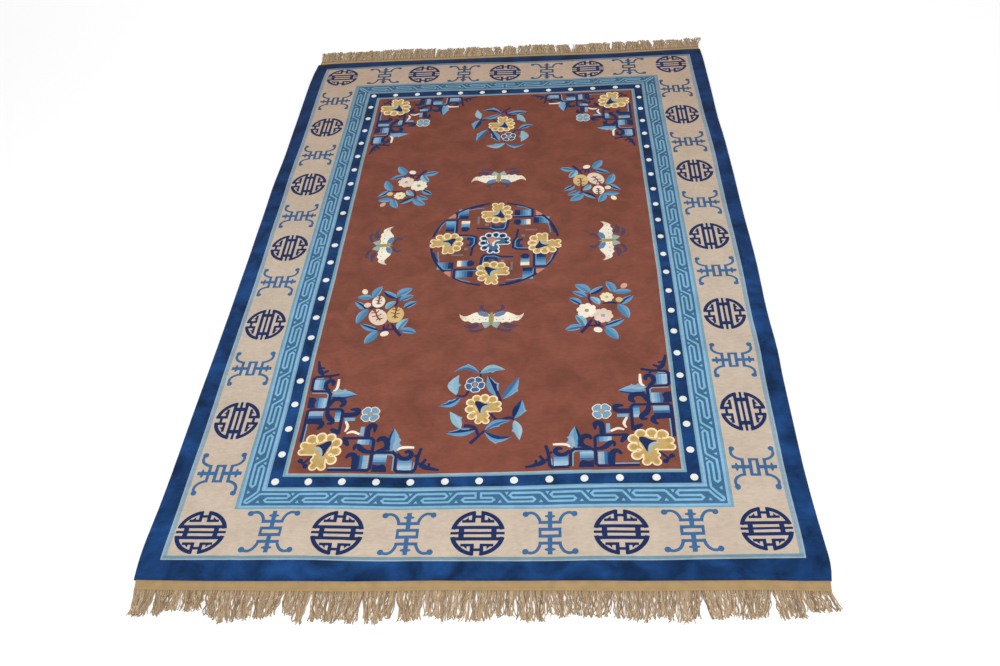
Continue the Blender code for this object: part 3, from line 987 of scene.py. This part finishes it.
# Hand knotting moves the pattern in long and in short waves: waves to the metre, and how far
LONG_WAVES = (4.5, 2.2)
SHORT_WAVES = (38.0, 0.6)
CALM_RIM = 0.030
TOUCHING = 1e-6
LOOK_FROM = 3.0
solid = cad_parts["pile_carpet"].data
cloth = BVHTree.FromPolygons([v.co for v in solid.vertices], [p.vertices for p in solid.polygons])


def edge_at(x, y, dx, dy):
    """Where the solid's outline lies, looking in from outside."""
    start = Vector((x - LOOK_FROM * dx, y - LOOK_FROM * dy, MID_RIM))
    return cloth.ray_cast(start, Vector((dx, dy, 0.0)))[0]


# How far the outline lies out from the straight, along each side and end
side_places = np.linspace(-1.368, 1.368, 220)
end_places = np.linspace(-0.912, 0.912, 150)
left_out = np.array([-HALF_WIDTH - edge_at(0.0, y, 1.0, 0.0).x for y in side_places])
right_out = np.array([edge_at(0.0, y, -1.0, 0.0).x - HALF_WIDTH for y in side_places])
near_out = np.array([-HALF_LENGTH - edge_at(x, 0.0, 0.0, 1.0).y for x in end_places])
far_out = np.array([edge_at(x, 0.0, 0.0, -1.0).y - HALF_LENGTH for x in end_places])

# How far each border line strays outwards, in millimetres: one row for each place along a side,
# one value for each distance from the middle
STRAY_X = (0.450, 0.575, 0.625, 0.655, 0.690, 0.868, 0.915)
STRAY_Y = (0.900, 1.038, 1.083, 1.115, 1.146, 1.312, 1.3725)
STRAY = {
    "left": (STRAY_X, (-0.885, -0.55, -0.20, 0.20, 0.55, 0.865),
             ((0, -3, -2, -1, 1, -9, 0), (0, 1, 2, 2, 4, -6, 0), (0, 0, 4, 4, 7, -8, 0),
              (0, 1, 4, 3, 6, -6, 0), (0, 5, 4, 4, 6, -4, 0), (0, 2, 2, 3, 4, -6, 0))),
    "right": (STRAY_X, (-0.885, -0.55, -0.20, 0.20, 0.55, 0.865, 1.15),
              ((0, 7, 8, 7, 11, -7, 0), (0, 8, 8, 7, 11, -6, 0), (0, 11, 9, 8, 12, -4, 0),
               (0, 8, 6, 6, 9, -5, 0), (0, 4, 3, 4, 7, -4, 0), (0, 2, -1, 0, 3, -7, 0),
               (0, 2, -1, 0, 3, -10, 0))),
    "near": (STRAY_Y, (-0.46, -0.23, 0.0, 0.23, 0.46, 0.755),
             ((0, 1, 3, 4, 2, 1, 0), (0, 7, 7, 10, 8, 6, 0), (0, 3, 4, 7, 5, 5, 0),
              (0, -2, 0, 4, 5, 5, 0), (0, -5, -4, 1, 3, 3, 0), (0, -5, -4, 1, 3, -4, 0))),
    "far": (STRAY_Y, (-0.755, -0.46, -0.23, 0.0, 0.23, 0.46, 0.755),
            ((0, -4, 0, 2, 4, 12, 0), (0, -4, 0, 3, 4, 18, 0), (0, -6, -2, 2, -2, 16, 0),
             (0, -11, -9, -5, -5, 3, 0), (0, -15, -12, -6, -11, -1, 0), (0, -11, -8, -2, -9, 3, 0),
             (0, -11, -8, -2, -9, 6, 0))),
}


def stray(side, along, distance):
    """How far the border lines of one side stray from the plan."""
    depths, places, rows = STRAY[side]
    position = np.interp(along, places, range(len(places)))
    total = np.zeros(len(along))
    for i, row in enumerate(rows):
        total += np.interp(distance, depths, row) * np.clip(1.0 - np.abs(position - i), 0.0, 1.0)
    return total * MM


# Where the rim bulges out beyond the plan, or in: place along the side and how far, in
# millimetres. The pattern follows from BULGE_FROM outwards.
BULGES = {
    "left": ((-1372, 3), (-1330, 5), (-1250, 4), (-1150, 2), (1372, 2)),
    "right": ((-1372, 0), (-1330, 6), (-1270, 2), (-1200, 0), (1372, 0)),
    "near": ((-915, 0), (-690, 2), (-430, 4), (-330, 5), (-220, 3), (-100, 0), (300, 1), (430, 2),
             (610, -1), (740, -3), (850, 0)),
    "far": ((-915, 0), (-850, 6), (-500, 7), (-250, 3), (0, -1), (250, -4), (480, -9), (670, -6),
            (850, 0)),
}
BULGE_FROM = (0.872, 1.318)


def bulge(side, along):
    """How far the rim bulges out at places along one side."""
    places, amounts = zip(*BULGES[side])
    return np.interp(along, np.array(places) * MM, np.array(amounts) * MM)


def uneven(x, y):
    """How far hand knotting moves a point of the plan, less beside the rim."""
    shifts = np.zeros((len(x), 2))
    for i in range(len(x)):
        for axis in (0, 1):
            wide, close = (noise.noise(Vector((x[i] * waves, y[i] * waves, layer + 10.0 * axis))) * far
                           for (waves, far), layer in ((LONG_WAVES, 3.0), (SHORT_WAVES, 7.0)))
            shifts[i, axis] = (wide + close) * MM
    rim_distance = np.minimum(HALF_WIDTH - np.abs(x), HALF_LENGTH - np.abs(y))
    return shifts * np.clip(rim_distance / CALM_RIM, 0.0, 1.0)[:, None]


def share_out(value, start, end):
    """0 up to one distance from the middle, rising to 1 at the other."""
    return np.clip((np.abs(value) - start) / (end - start), 0.0, 1.0)


def woven_place(x, y):
    """Where a point of the plan comes to lie in the cloth, whose sides wander."""
    shifts = uneven(x, y)
    sideways = np.where(x < 0.0, stray("left", y, -x), stray("right", y, x))
    lengthways = np.where(y < 0.0, stray("near", x, -y), stray("far", x, y))
    x = x + shifts[:, 0] + np.sign(x) * sideways
    y = y + shifts[:, 1] + np.sign(y) * lengthways
    out = np.where(x < 0.0, np.interp(y, side_places, left_out), np.interp(y, side_places, right_out))
    beyond = np.where(y < 0.0, np.interp(x, end_places, near_out), np.interp(x, end_places, far_out))
    return (x + np.sign(x) * out * share_out(x, BORDER_FROM, HALF_WIDTH),
            y + np.sign(y) * beyond * share_out(y, END_FROM, HALF_LENGTH))


def inside(outline, x, y):
    """Which points lie inside an outline, whatever way it winds."""
    turns = np.zeros(len(x), int)
    for (ax, ay), (bx, by) in zip(outline, outline[1:] + outline[:1]):
        side = (bx - ax) * (y - ay) - (by - ay) * (x - ax)
        turns += (ay <= y) & (y < by) & (side > 0.0)
        turns -= (by <= y) & (y < ay) & (side < 0.0)
    return turns != 0


def crease_depth(x, y):
    """How deep the creases' soft troughs lie at points of the plan."""
    depth = np.zeros(len(x))
    for (ax, ay), (bx, by), deep, half in CREASES:
        length = math.hypot(bx - ax, by - ay)
        along = ((x - ax) * (bx - ax) + (y - ay) * (by - ay)) / length
        off = ((y - ay) * (bx - ax) - (x - ax) * (by - ay)) / length
        fade = np.clip(along / CREASE_FADE, 0.0, 1.0) * np.clip((length - along) / CREASE_FADE, 0.0, 1.0)
        trough = np.clip(1.0 - (off / (half * MM)) ** 2, 0.0, 1.0) ** 2
        depth += deep * MM * trough * fade * (0.7 + 0.3 * np.sin(along * CREASE_WAVE))
    return depth


def add_outline(points, edges, outline):
    """Adds a closed outline's points and edges, long edges in steps."""
    first = len(points)
    for (ax, ay), (bx, by) in zip(outline, outline[1:] + outline[:1]):
        steps = max(1, round(math.hypot(bx - ax, by - ay) / STITCH_PITCH))
        for i in range(steps):
            points.append((ax + (bx - ax) * i / steps, ay + (by - ay) * i / steps))
    count = len(points) - first
    edges.extend((first + i, first + (i + 1) % count) for i in range(count))


def knot_carpet():
    """The plan cut into small triangles, each in the yarn of the uppermost outline over it."""
    points = []
    edges = []
    for ring in RIM_RINGS:
        plan_ring = box(-HALF_WIDTH + ring, -HALF_LENGTH + ring, HALF_WIDTH - ring, HALF_LENGTH - ring)
        add_outline(points, edges, plan_ring)
    for _, outline in plan[1:]:
        add_outline(points, edges, outline)
    for (ax, ay), (bx, by), _, half in CREASES:
        length = math.hypot(bx - ax, by - ay)
        nx, ny = -(by - ay) / length, (bx - ax) / length
        steps = round(length / CREASE_STEP)
        for i in range(steps + 1):
            for side in (-1.0, -0.5, 0.0, 0.5, 1.0):
                s = i / steps
                points.append((ax + (bx - ax) * s + nx * side * half * MM,
                               ay + (by - ay) * s + ny * side * half * MM))
    places_x, places_y = (np.arange(-half + STITCH_PITCH / 2.0, half - STITCH_PITCH / 3.0, STITCH_PITCH)
                          for half in (HALF_WIDTH, HALF_LENGTH))
    points += [(x, y) for x in places_x for y in places_y]
    found = delaunay_2d_cdt([Vector(p) for p in points], edges, [], 0, 2e-5, False)
    flat = np.array([tuple(v) for v in found[0]])
    faces = np.array([tuple(f) for f in found[2]])
    middle = flat[faces].mean(axis=1)
    yarn_of = np.zeros(len(faces), int)
    names = list(YARNS)
    order = np.argsort(middle[:, 0])
    x = middle[order, 0]
    y = middle[order, 1]
    for yarn, outline in plan:
        xs = [p[0] for p in outline]
        ys = [p[1] for p in outline]
        first, last = np.searchsorted(x, (min(xs), max(xs)))
        near = np.arange(first, last)[(y[first:last] > min(ys)) & (y[first:last] < max(ys))]
        hit = near[inside(outline, x[near], y[near])]
        yarn_of[order[hit]] = names.index(yarn)
    return flat, faces, yarn_of


def raise_pile(flat, on_rim):
    """Where the plan's points lie in the finished carpet, on the solid's own top."""
    x, y = woven_place(flat[:, 0], flat[:, 1])
    z = np.full(len(flat), MID_RIM)
    for i in np.flatnonzero(~on_rim):
        hit = cloth.ray_cast(Vector((x[i], y[i], 1.0)), Vector((0.0, 0.0, -1.0)))[0]
        if hit:
            z[i] = hit.z
    z -= crease_depth(flat[:, 0], flat[:, 1])
    sideways = np.where(flat[:, 0] < 0.0, -bulge("left", y), bulge("right", y))
    lengthways = np.where(flat[:, 1] < 0.0, -bulge("near", x), bulge("far", x))
    x += sideways * share_out(flat[:, 0], BULGE_FROM[0], HALF_WIDTH)
    y += lengthways * share_out(flat[:, 1], BULGE_FROM[1], HALF_LENGTH)
    return [tuple(p) for p in np.stack([x, y, z], axis=1)]


def around(point):
    """Which side of the rim a point is on, and how far along it, counter-clockwise."""
    x, y = point
    if abs(y + HALF_LENGTH) < TOUCHING and x < HALF_WIDTH - TOUCHING:
        return 0, x
    if abs(x - HALF_WIDTH) < TOUCHING and y < HALF_LENGTH - TOUCHING:
        return 1, y
    if abs(y - HALF_LENGTH) < TOUCHING and x > -HALF_WIDTH + TOUCHING:
        return 2, -x
    return 3, -y


def placed_object(name, points, polygons, materials):
    """A new mesh object in the scene."""
    mesh = bpy.data.meshes.new(name)
    mesh.from_pydata(points, [], polygons)
    for material in materials:
        mesh.materials.append(material)
    made = bpy.data.objects.new(name, mesh)
    bpy.context.scene.collection.objects.link(made)
    return made


flat, faces, yarn_of = knot_carpet()
at_side = np.abs(np.abs(flat[:, 0]) - HALF_WIDTH) < TOUCHING
at_end = np.abs(np.abs(flat[:, 1]) - HALF_LENGTH) < TOUCHING
rim = sorted(np.flatnonzero(at_side | at_end).tolist(), key=lambda i: around(flat[i]))
points = raise_pile(flat, at_side | at_end)
polygons = [tuple(int(i) for i in face) for face in faces]
slots = [int(i) for i in yarn_of]

# The rim's lower edge, and the wall down to it
below = []
for i in rim:
    x, y = points[i][:2]
    inset_x = -math.copysign(BACK_INSET, x) if at_side[i] else 0.0
    inset_y = -math.copysign(BACK_INSET, y) if at_end[i] else 0.0
    below.append(len(points))
    points.append((x + inset_x, y + inset_y, 0.0))
for k in range(len(rim)):
    m = (k + 1) % len(rim)
    polygons.append((rim[k], below[k], below[m], rim[m]))
    slots.append(list(YARNS).index("navy"))

# The flat back, inside that edge
outer = [points[i][:2] for i in below]
back = delaunay_2d_cdt([Vector(p) for p in outer], [(k, (k + 1) % len(outer)) for k in range(len(outer))],
                       [], 0, TOUCHING, False)
for face in back[2]:
    x, y = np.mean([outer[i] for i in face], axis=0)
    if inside(outer, np.array([x]), np.array([y]))[0]:
        polygons.append(tuple(below[i] for i in reversed(face)))
        slots.append(len(YARNS))

COTTON_BACK = "#a8987c"
wools = [knotted_wool("wool_" + name.replace(" ", "_"), colour, FAR_SHADED_YARNS.get(name, colour),
                      SHEEN_AND_LOT_SHIFT.get(name, SHEEN_AND_LOT_SHIFT_OTHERS)) for name, colour in YARNS.items()]
wools.append(knotted_wool("cotton_back", COTTON_BACK, COTTON_BACK, SHEEN_AND_LOT_SHIFT_OTHERS))
carpet = placed_object("knotted_pile", points, polygons, wools)
carpet.data.polygons.foreach_set("material_index", slots)
carpet.data.shade_smooth()
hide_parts("pile_carpet")
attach(carpet, "root")

# The fringe webs
# Each end is finished with a bought trimming: a flat tape of tan cotton, woven in one with its
# fringe and sewn to the carpet's end by two rows of stitches. It lies flat on the floor.
WEB_WIDTH = 28.0 * MM
WEB_THICKNESS = 2.6 * MM
WEB_SET_IN = 4.0 * MM
WEB_FLARE = 2.0 * MM
PIECE_GAP = 0.3 * MM
END_WANDER = 1.2 * MM
END_WAVES = 2.5
WEB_STEP = 6.0 * MM
# The seam holds the tape's inner edge up against the pile
WEB_LIFT = 4.0 * MM
COTTON_TAN = "#9c825c"
RIB = 1.8 * MM
DYE_PATCH = 25.0 * MM
# The tape from the carpet outwards: share of its width, and height as a share of its thickness
WEB_SECTION = ((0.0, 0.0), (0.0, 0.80), (0.03, 0.94), (0.10, 0.94), (0.14, 0.76), (0.18, 0.94),
               (0.62, 1.0), (0.66, 0.78), (0.70, 0.98), (0.92, 0.90), (1.0, 0.55), (1.0, 0.0))


def cotton_tape(name):
    """Unbleached woven cotton: a matt tape with fine ribs, an inch of uneven shade to a patch."""
    material, tree = empty_material(name)
    place = add(tree, "ShaderNodeTexCoord").outputs["Object"]
    ribs = add(tree, "ShaderNodeTexWave", {"bands_direction": "X", "Scale": 1.0 / (RIB * 2.0 * math.pi),
                                           "Distortion": 1.5}, {"Vector": place})
    dye = add(tree, "ShaderNodeTexNoise", {"Scale": 1.0 / DYE_PATCH, "Detail": 3.0}, {"Vector": place})
    shade = add(tree, "ShaderNodeMapRange", {1: 0.3, 2: 0.7, 3: 0.90, 4: 1.08}, {0: dye.outputs["Fac"]})
    dyed = add(tree, "ShaderNodeVectorMath", {"operation": "SCALE", 0: linear(COTTON_TAN)[:3]},
               {3: shade.outputs[0]})
    raised = add(tree, "ShaderNodeBump", {"Strength": 0.4, "Distance": 0.3 * MM},
                 {"Height": ribs.outputs["Fac"]})
    cotton = add(tree, "ShaderNodeBsdfPrincipled", {"Roughness": 0.9, "Specular IOR Level": 0.2},
                 {"Base Color": dyed.outputs[0], "Normal": raised.outputs[0]})
    add(tree, "ShaderNodeOutputMaterial", links={"Surface": cotton.outputs[0]})
    return material


def web_edge(x):
    """Where the tape meets the carpet's end, which wanders a little."""
    wander = END_WANDER * (math.cos(math.pi * END_WAVES * x / HALF_WIDTH) - 1.0)
    return HALF_LENGTH + wander + PIECE_GAP


def weave_web(name, end, material):
    """One tape. end is -1 for the near end and 1 for the far one."""
    half = HALF_WIDTH - WEB_SET_IN
    steps = round(2.0 * half / WEB_STEP)
    ring = len(WEB_SECTION)
    points = []
    polygons = []
    for i in range(steps + 1):
        x = -half + 2.0 * half * i / steps
        shift = bulge("near" if end < 0 else "far", x)
        inner = web_edge(x) + shift
        outer = HALF_LENGTH + WEB_WIDTH + shift
        for share, height in WEB_SECTION:
            flare = math.copysign(WEB_FLARE, x) * (1.0 - share) if i in (0, steps) else 0.0
            ripple = 0.06 * noise.noise(Vector((x * 22.0, share * 2.0, end * 5.0)))
            z = (WEB_THICKNESS + WEB_LIFT * (1.0 - share) ** 2) * height * (1.0 + ripple)
            points.append((x + flare, end * (inner + (outer - inner) * share), z))
    for i in range(steps):
        for k in range(ring):
            m = (k + 1) % ring
            face = (i * ring + k, i * ring + m, (i + 1) * ring + m, (i + 1) * ring + k)
            polygons.append(face if end < 0 else face[::-1])
    first = tuple(range(ring))
    last = tuple(steps * ring + k for k in range(ring))
    polygons.append(first[::-1] if end < 0 else first)
    polygons.append(last if end < 0 else last[::-1])
    return placed_object(name, points, polygons, [material])


tape_cotton = cotton_tape("cotton_tape")
webs = [weave_web("fringe_near_web", -1, tape_cotton), weave_web("fringe_far_web", 1, tape_cotton)]

# The fringe yarns
# Loose twisted cotton yarns hang from each tape and lie on the floor in leaning bunches, cut to
# uneven lengths. Their roots and tips follow the solid's locks, eight or nine yarns to each.
COTTON_BROWN = "#80674c"
COTTON_LIGHT = "#c4ab8a"
LOCKS_PER_END = 146
LOCK_REACH = 82.0 * MM
LOCK_SHORTEST = 64.0 * MM
LOCK_RAGGED = 6.0 * MM
LOCKS_IN_BUNCH = (2, 7)
BUNCH_PULL = (0.05, 0.42)
BUNCH_LEAN = 9.0 * MM
LOCK_BOW = 1.4
LOCK_JITTER = 2.2 * MM
TIP_SPACING = 0.42
TIP_FARTHEST = 0.926
CORNER_SPLAYS = ((0, -0.007), (-2, 0.005), (-1, 0.014))
NEAR_SEED = 11
FAR_SEED = 29
# At the near end (-1) and the far end (1). The yarns are drawn fewer and thicker than real ones,
# which are too fine to show from here.
YARNS_IN_LOCK = {-1: 8, 1: 9}
YARN_RADIUS = {-1: 1.22 * MM, 1: 1.45 * MM}
YARN_SIDES = 5
YARN_STEPS = 10
YARN_STRETCH = {-1: 1.0, 1: 1.12}
# Where the yarns are longer or shorter: place across the rug and how much, in millimetres
YARN_LONGER = {
    -1: ((-915, 2), (-860, 2), (-770, -12), (-700, -6), (-640, 18), (-540, 8), (-480, -8), (-420, 13),
         (-330, 13), (-250, 22), (-190, 3), (150, 3), (390, -3), (480, 4), (545, 10), (600, 0), (740, -5),
         (810, -1), (860, -8), (915, -10)),
    1: ((-915, 8), (-500, 7), (0, 3), (480, 8), (700, 6), (915, 0)),
}
YARN_START_IN = 2.0 * MM
YARN_WAVE = 3.8 * MM
YARN_LIFT = 2.4 * MM
YARN_CURL = 8.0 * MM
# The last part of a yarn curls aside, its first part drops from the tape, and its end is blunt
CURL_FROM = 0.6
DROP_TO = 0.22
BLUNT_END = 1.12
# At the near left corner the yarns lean inwards: how far, lock by lock
CORNER_LEAN = (20.0 * MM, 14.0 * MM, 7.0 * MM)
TWIST = 4.0 * MM
FARTHEST_ASIDE = 0.932


def lock_bunches(chance):
    """How many neighbouring locks lean together, bunch by bunch."""
    bunches = []
    left = LOCKS_PER_END
    while left > 0:
        size = min(chance.randint(*LOCKS_IN_BUNCH), left)
        bunches.append(size)
        left -= size
    return bunches


def plan_locks(chance, bunches, left, right):
    """Root and tip places of the locks across the rug, and how far each one reaches."""
    pitch = (right - left) / LOCKS_PER_END
    roots = [left + (i + 0.5) * pitch for i in range(LOCKS_PER_END)]
    tips = []
    reaches = []
    first = 0
    for size in bunches:
        middle = sum(roots[first:first + size]) / size
        pull = chance.uniform(*BUNCH_PULL)
        lean = chance.uniform(-BUNCH_LEAN, BUNCH_LEAN)
        reach = chance.uniform(LOCK_SHORTEST, LOCK_REACH)
        for root in roots[first:first + size]:
            jitter = chance.uniform(-LOCK_JITTER, LOCK_JITTER)
            tips.append(root + (middle - root) * pull + lean + jitter)
            ragged = chance.uniform(-LOCK_RAGGED, LOCK_RAGGED)
            reaches.append(min(reach + ragged, LOCK_REACH))
        first += size
    reaches[len(reaches) // 2] = LOCK_REACH
    for lock, splay in CORNER_SPLAYS:
        tips[lock] = roots[lock] + splay
    closest = pitch * TIP_SPACING
    for i in range(1, LOCKS_PER_END):
        tips[i] = max(tips[i], tips[i - 1] + closest)
    for i in range(LOCKS_PER_END - 1, -1, -1):
        tips[i] = min(tips[i], TIP_FARTHEST - (LOCKS_PER_END - 1 - i) * closest)
    return pitch, roots, tips, reaches


def cotton_yarn(name):
    """Plied cotton yarn: each one a little lighter or browner, with painted shade in the grooves of its
    twist and a faint painted highlight on its plies.
    """
    material, tree = empty_material(name)
    lay = add(tree, "ShaderNodeUVMap", {"uv_map": "lay"})
    parts = add(tree, "ShaderNodeSeparateXYZ", {}, {0: lay.outputs[0]})
    number = add(tree, "ShaderNodeMath", {"operation": "FLOOR"}, {0: parts.outputs[0]})
    tone = add(tree, "ShaderNodeTexWhiteNoise", {"noise_dimensions": "1D"}, {"W": number.outputs[0]})
    dyes = add(tree, "ShaderNodeMix",
               {"data_type": "RGBA", 6: linear(COTTON_BROWN), 7: linear(COTTON_LIGHT)},
               {0: tone.outputs["Value"]})
    # The twist's grooves painted darker and its plies a little lighter: painted shade and highlight
    turn = add(tree, "ShaderNodeMath", {"operation": "MULTIPLY_ADD", 1: 1.0 / TWIST},
               {0: parts.outputs[1], 2: parts.outputs[0]})
    angle = add(tree, "ShaderNodeMath", {"operation": "MULTIPLY", 1: 4.0 * math.pi}, {0: turn.outputs[0]})
    twist_shade = add(tree, "ShaderNodeMath", {"operation": "SINE"}, {0: angle.outputs[0]})
    shade = add(tree, "ShaderNodeMapRange", {1: -1.0, 2: 1.0, 3: 0.72, 4: 1.08}, {0: twist_shade.outputs[0]})
    dyed = add(tree, "ShaderNodeVectorMath", {"operation": "SCALE"},
               {0: dyes.outputs[2], 3: shade.outputs[0]})
    cotton = add(tree, "ShaderNodeBsdfPrincipled", {"Roughness": 0.9, "Specular IOR Level": 0.2},
                 {"Base Color": dyed.outputs[0]})
    add(tree, "ShaderNodeOutputMaterial", links={"Surface": cotton.outputs[0]})
    return material


def lay_yarns(name, end, seed, material):
    """One end's yarns, joined in one mesh."""
    chance = random.Random(seed)
    bunches = lock_bunches(chance)
    left = -HALF_WIDTH + WEB_SET_IN
    pitch, roots, tips, reaches = plan_locks(chance, bunches, left, -left)
    if end < 0:
        for i, lean in enumerate(CORNER_LEAN):
            tips[i] += lean
    chance = random.Random(seed + 1)
    angles = [2.0 * math.pi * k / YARN_SIDES for k in range(YARN_SIDES)]
    points = []
    polygons = []
    lays = []
    start = HALF_LENGTH + WEB_WIDTH - YARN_START_IN
    in_lock = YARNS_IN_LOCK[end]
    longer_at = [x * MM for x, _ in YARN_LONGER[end]]
    longer_by = [y * MM for _, y in YARN_LONGER[end]]
    for i in range(LOCKS_PER_END):
        shift = bulge("near" if end < 0 else "far", roots[i])
        for k in range(in_lock):
            number = i * in_lock + k
            across = (k + 0.5) / in_lock * 2.0 - 1.0
            at_root = across * pitch / 2.0 * 0.97
            at_tip = (across * 0.6 + chance.uniform(-1.3, 1.3)) * pitch / 2.0
            reach = reaches[i] * chance.uniform(0.86, 1.0) * YARN_STRETCH[end] + YARN_START_IN
            reach += np.interp(roots[i], longer_at, longer_by)
            curl = YARN_CURL * chance.uniform(-1.0, 1.0)
            phase = chance.uniform(0.0, 2.0 * math.pi)
            waves = chance.uniform(0.7, 2.2)
            swing = YARN_WAVE * chance.uniform(0.3, 1.0)
            lift = YARN_LIFT * chance.uniform(0.0, 1.0) ** 2
            for j in range(YARN_STEPS + 1):
                s = j / YARN_STEPS
                bend = swing * math.sin(phase + 2.0 * math.pi * waves * s) * min(1.0, 3.0 * s)
                x = roots[i] + at_root + (tips[i] - roots[i]) * s ** LOCK_BOW
                x += (at_tip - at_root) * s + bend
                x += curl * max(0.0, s - CURL_FROM) ** 2 / (1.0 - CURL_FROM) ** 2
                x = min(max(x, -FARTHEST_ASIDE), FARTHEST_ASIDE)
                fall = max(0.0, 1.0 - s / DROP_TO)
                radius = YARN_RADIUS[end] * (BLUNT_END if j == YARN_STEPS else 1.0)
                z = radius + fall * 0.4 * WEB_THICKNESS + lift * math.sin(math.pi * min(1.0, s * 1.05)) ** 2
                y = end * (start + shift + reach * s)
                for angle in angles:
                    points.append((x + radius * math.cos(angle), y, z + radius * math.sin(angle)))
            base = number * (YARN_STEPS + 1) * YARN_SIDES
            for j in range(YARN_STEPS):
                for m in range(YARN_SIDES):
                    n = (m + 1) % YARN_SIDES
                    a = base + j * YARN_SIDES
                    b = a + YARN_SIDES
                    face = (a + m, a + n, b + n, b + m)
                    corners = [(m, j), (m + 1, j), (m + 1, j + 1), (m, j + 1)]
                    if end > 0:
                        face = face[::-1]
                        corners = corners[::-1]
                    polygons.append(face)
                    lays += [(number + 0.999 * u / YARN_SIDES, v * reach / YARN_STEPS)
                             for u, v in corners]
            for j, turned in ((0, end < 0), (YARN_STEPS, end > 0)):
                cap = tuple(base + j * YARN_SIDES + m for m in range(YARN_SIDES))
                polygons.append(cap if not turned else cap[::-1])
                lays += [(number + 0.5, j * reach / YARN_STEPS)] * YARN_SIDES
    made = placed_object(name, points, polygons, [material])
    layer = made.data.uv_layers.new(name="lay")
    layer.data.foreach_set("uv", [value for pair in lays for value in pair])
    made.data.shade_smooth()
    return made


yarn_cotton = cotton_yarn("cotton_yarn")
fringes = [lay_yarns("fringe_near_yarns", -1, NEAR_SEED, yarn_cotton),
           lay_yarns("fringe_far_yarns", 1, FAR_SEED, yarn_cotton)]
for made, node in zip(webs + fringes, ("fringe_near", "fringe_far") * 2):
    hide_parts(node)
    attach(made, "root")

# The floor
# A plain studio floor, painted a matt off-white, wide enough to run past every view. It lies a
# hair below the carpet's back.
FLOOR_HALF = 30.0
FLOOR_DROP = 0.0002
corners = [(x, y, -FLOOR_DROP) for x, y in box(-FLOOR_HALF, -FLOOR_HALF, FLOOR_HALF, FLOOR_HALF)]
material, tree = empty_material("pale_floor")
paint = add(tree, "ShaderNodeBsdfPrincipled", {"Base Color": linear("#f7f7f7"), "Roughness": 0.9})
add(tree, "ShaderNodeOutputMaterial", links={"Surface": paint.outputs[0]})
placed_object("studio_floor", corners, [(0, 1, 2, 3)], [material])

# The light
# Soft, even daylight from all round, with two large soft boxes: one over the near end, and one
# beyond the far end that keeps the floor behind the rug as pale as the rest.
DAYLIGHT = 0.87
# Name, place, size, power and what each soft box is aimed at
SOFT_BOXES = (
    ("near_box", (0.3, -2.4, 3.0), 2.6, 64.0, (0.0, -0.7, 0.0)),
    ("back_box", (0.0, 6.5, 3.6), 4.0, 90.0, (0.0, 5.5, 0.0)),
)
world = bpy.data.worlds.new("soft_room")
world.use_nodes = True
world.node_tree.nodes["Background"].inputs["Color"].default_value = (1.0, 1.0, 1.0, 1.0)
world.node_tree.nodes["Background"].inputs["Strength"].default_value = DAYLIGHT
bpy.context.scene.world = world
bpy.context.scene.view_settings.view_transform = "Standard"
for name, place, size, power, target in SOFT_BOXES:
    lamp = bpy.data.lights.new(name, "AREA")
    lamp.energy = power
    lamp.size = size
    lamp_object = bpy.data.objects.new(name, lamp)
    lamp_object.location = place
    lamp_object.rotation_euler = (Vector(target) - Vector(place)).to_track_quat("-Z", "Y").to_euler()
    bpy.context.scene.collection.objects.link(lamp_object)

# The camera
# It stands beyond the near end, a little to the right and about 2 m up, and looks down along the
# rug, as the photograph does. Its place is in metres and its angles are in degrees.
CAMERA_PLACE = (0.2520, -2.4863, 2.0832)
CAMERA_TILT = 44.27
CAMERA_HEADING = 6.09
CAMERA_ROLL = -5.50
CAMERA_LENS = 31.36
camera_data = bpy.data.cameras.new("camera")
camera_data.lens = CAMERA_LENS
camera = bpy.data.objects.new("camera", camera_data)
aim = Matrix.Identity(4)
for angle, axis in ((CAMERA_HEADING, "Z"), (CAMERA_TILT, "X"), (CAMERA_ROLL, "Z")):
    aim = aim @ Matrix.Rotation(math.radians(angle), 4, axis)
camera.matrix_world = Matrix.Translation(CAMERA_PLACE) @ aim
bpy.context.scene.collection.objects.link(camera)
bpy.context.scene.camera = camera
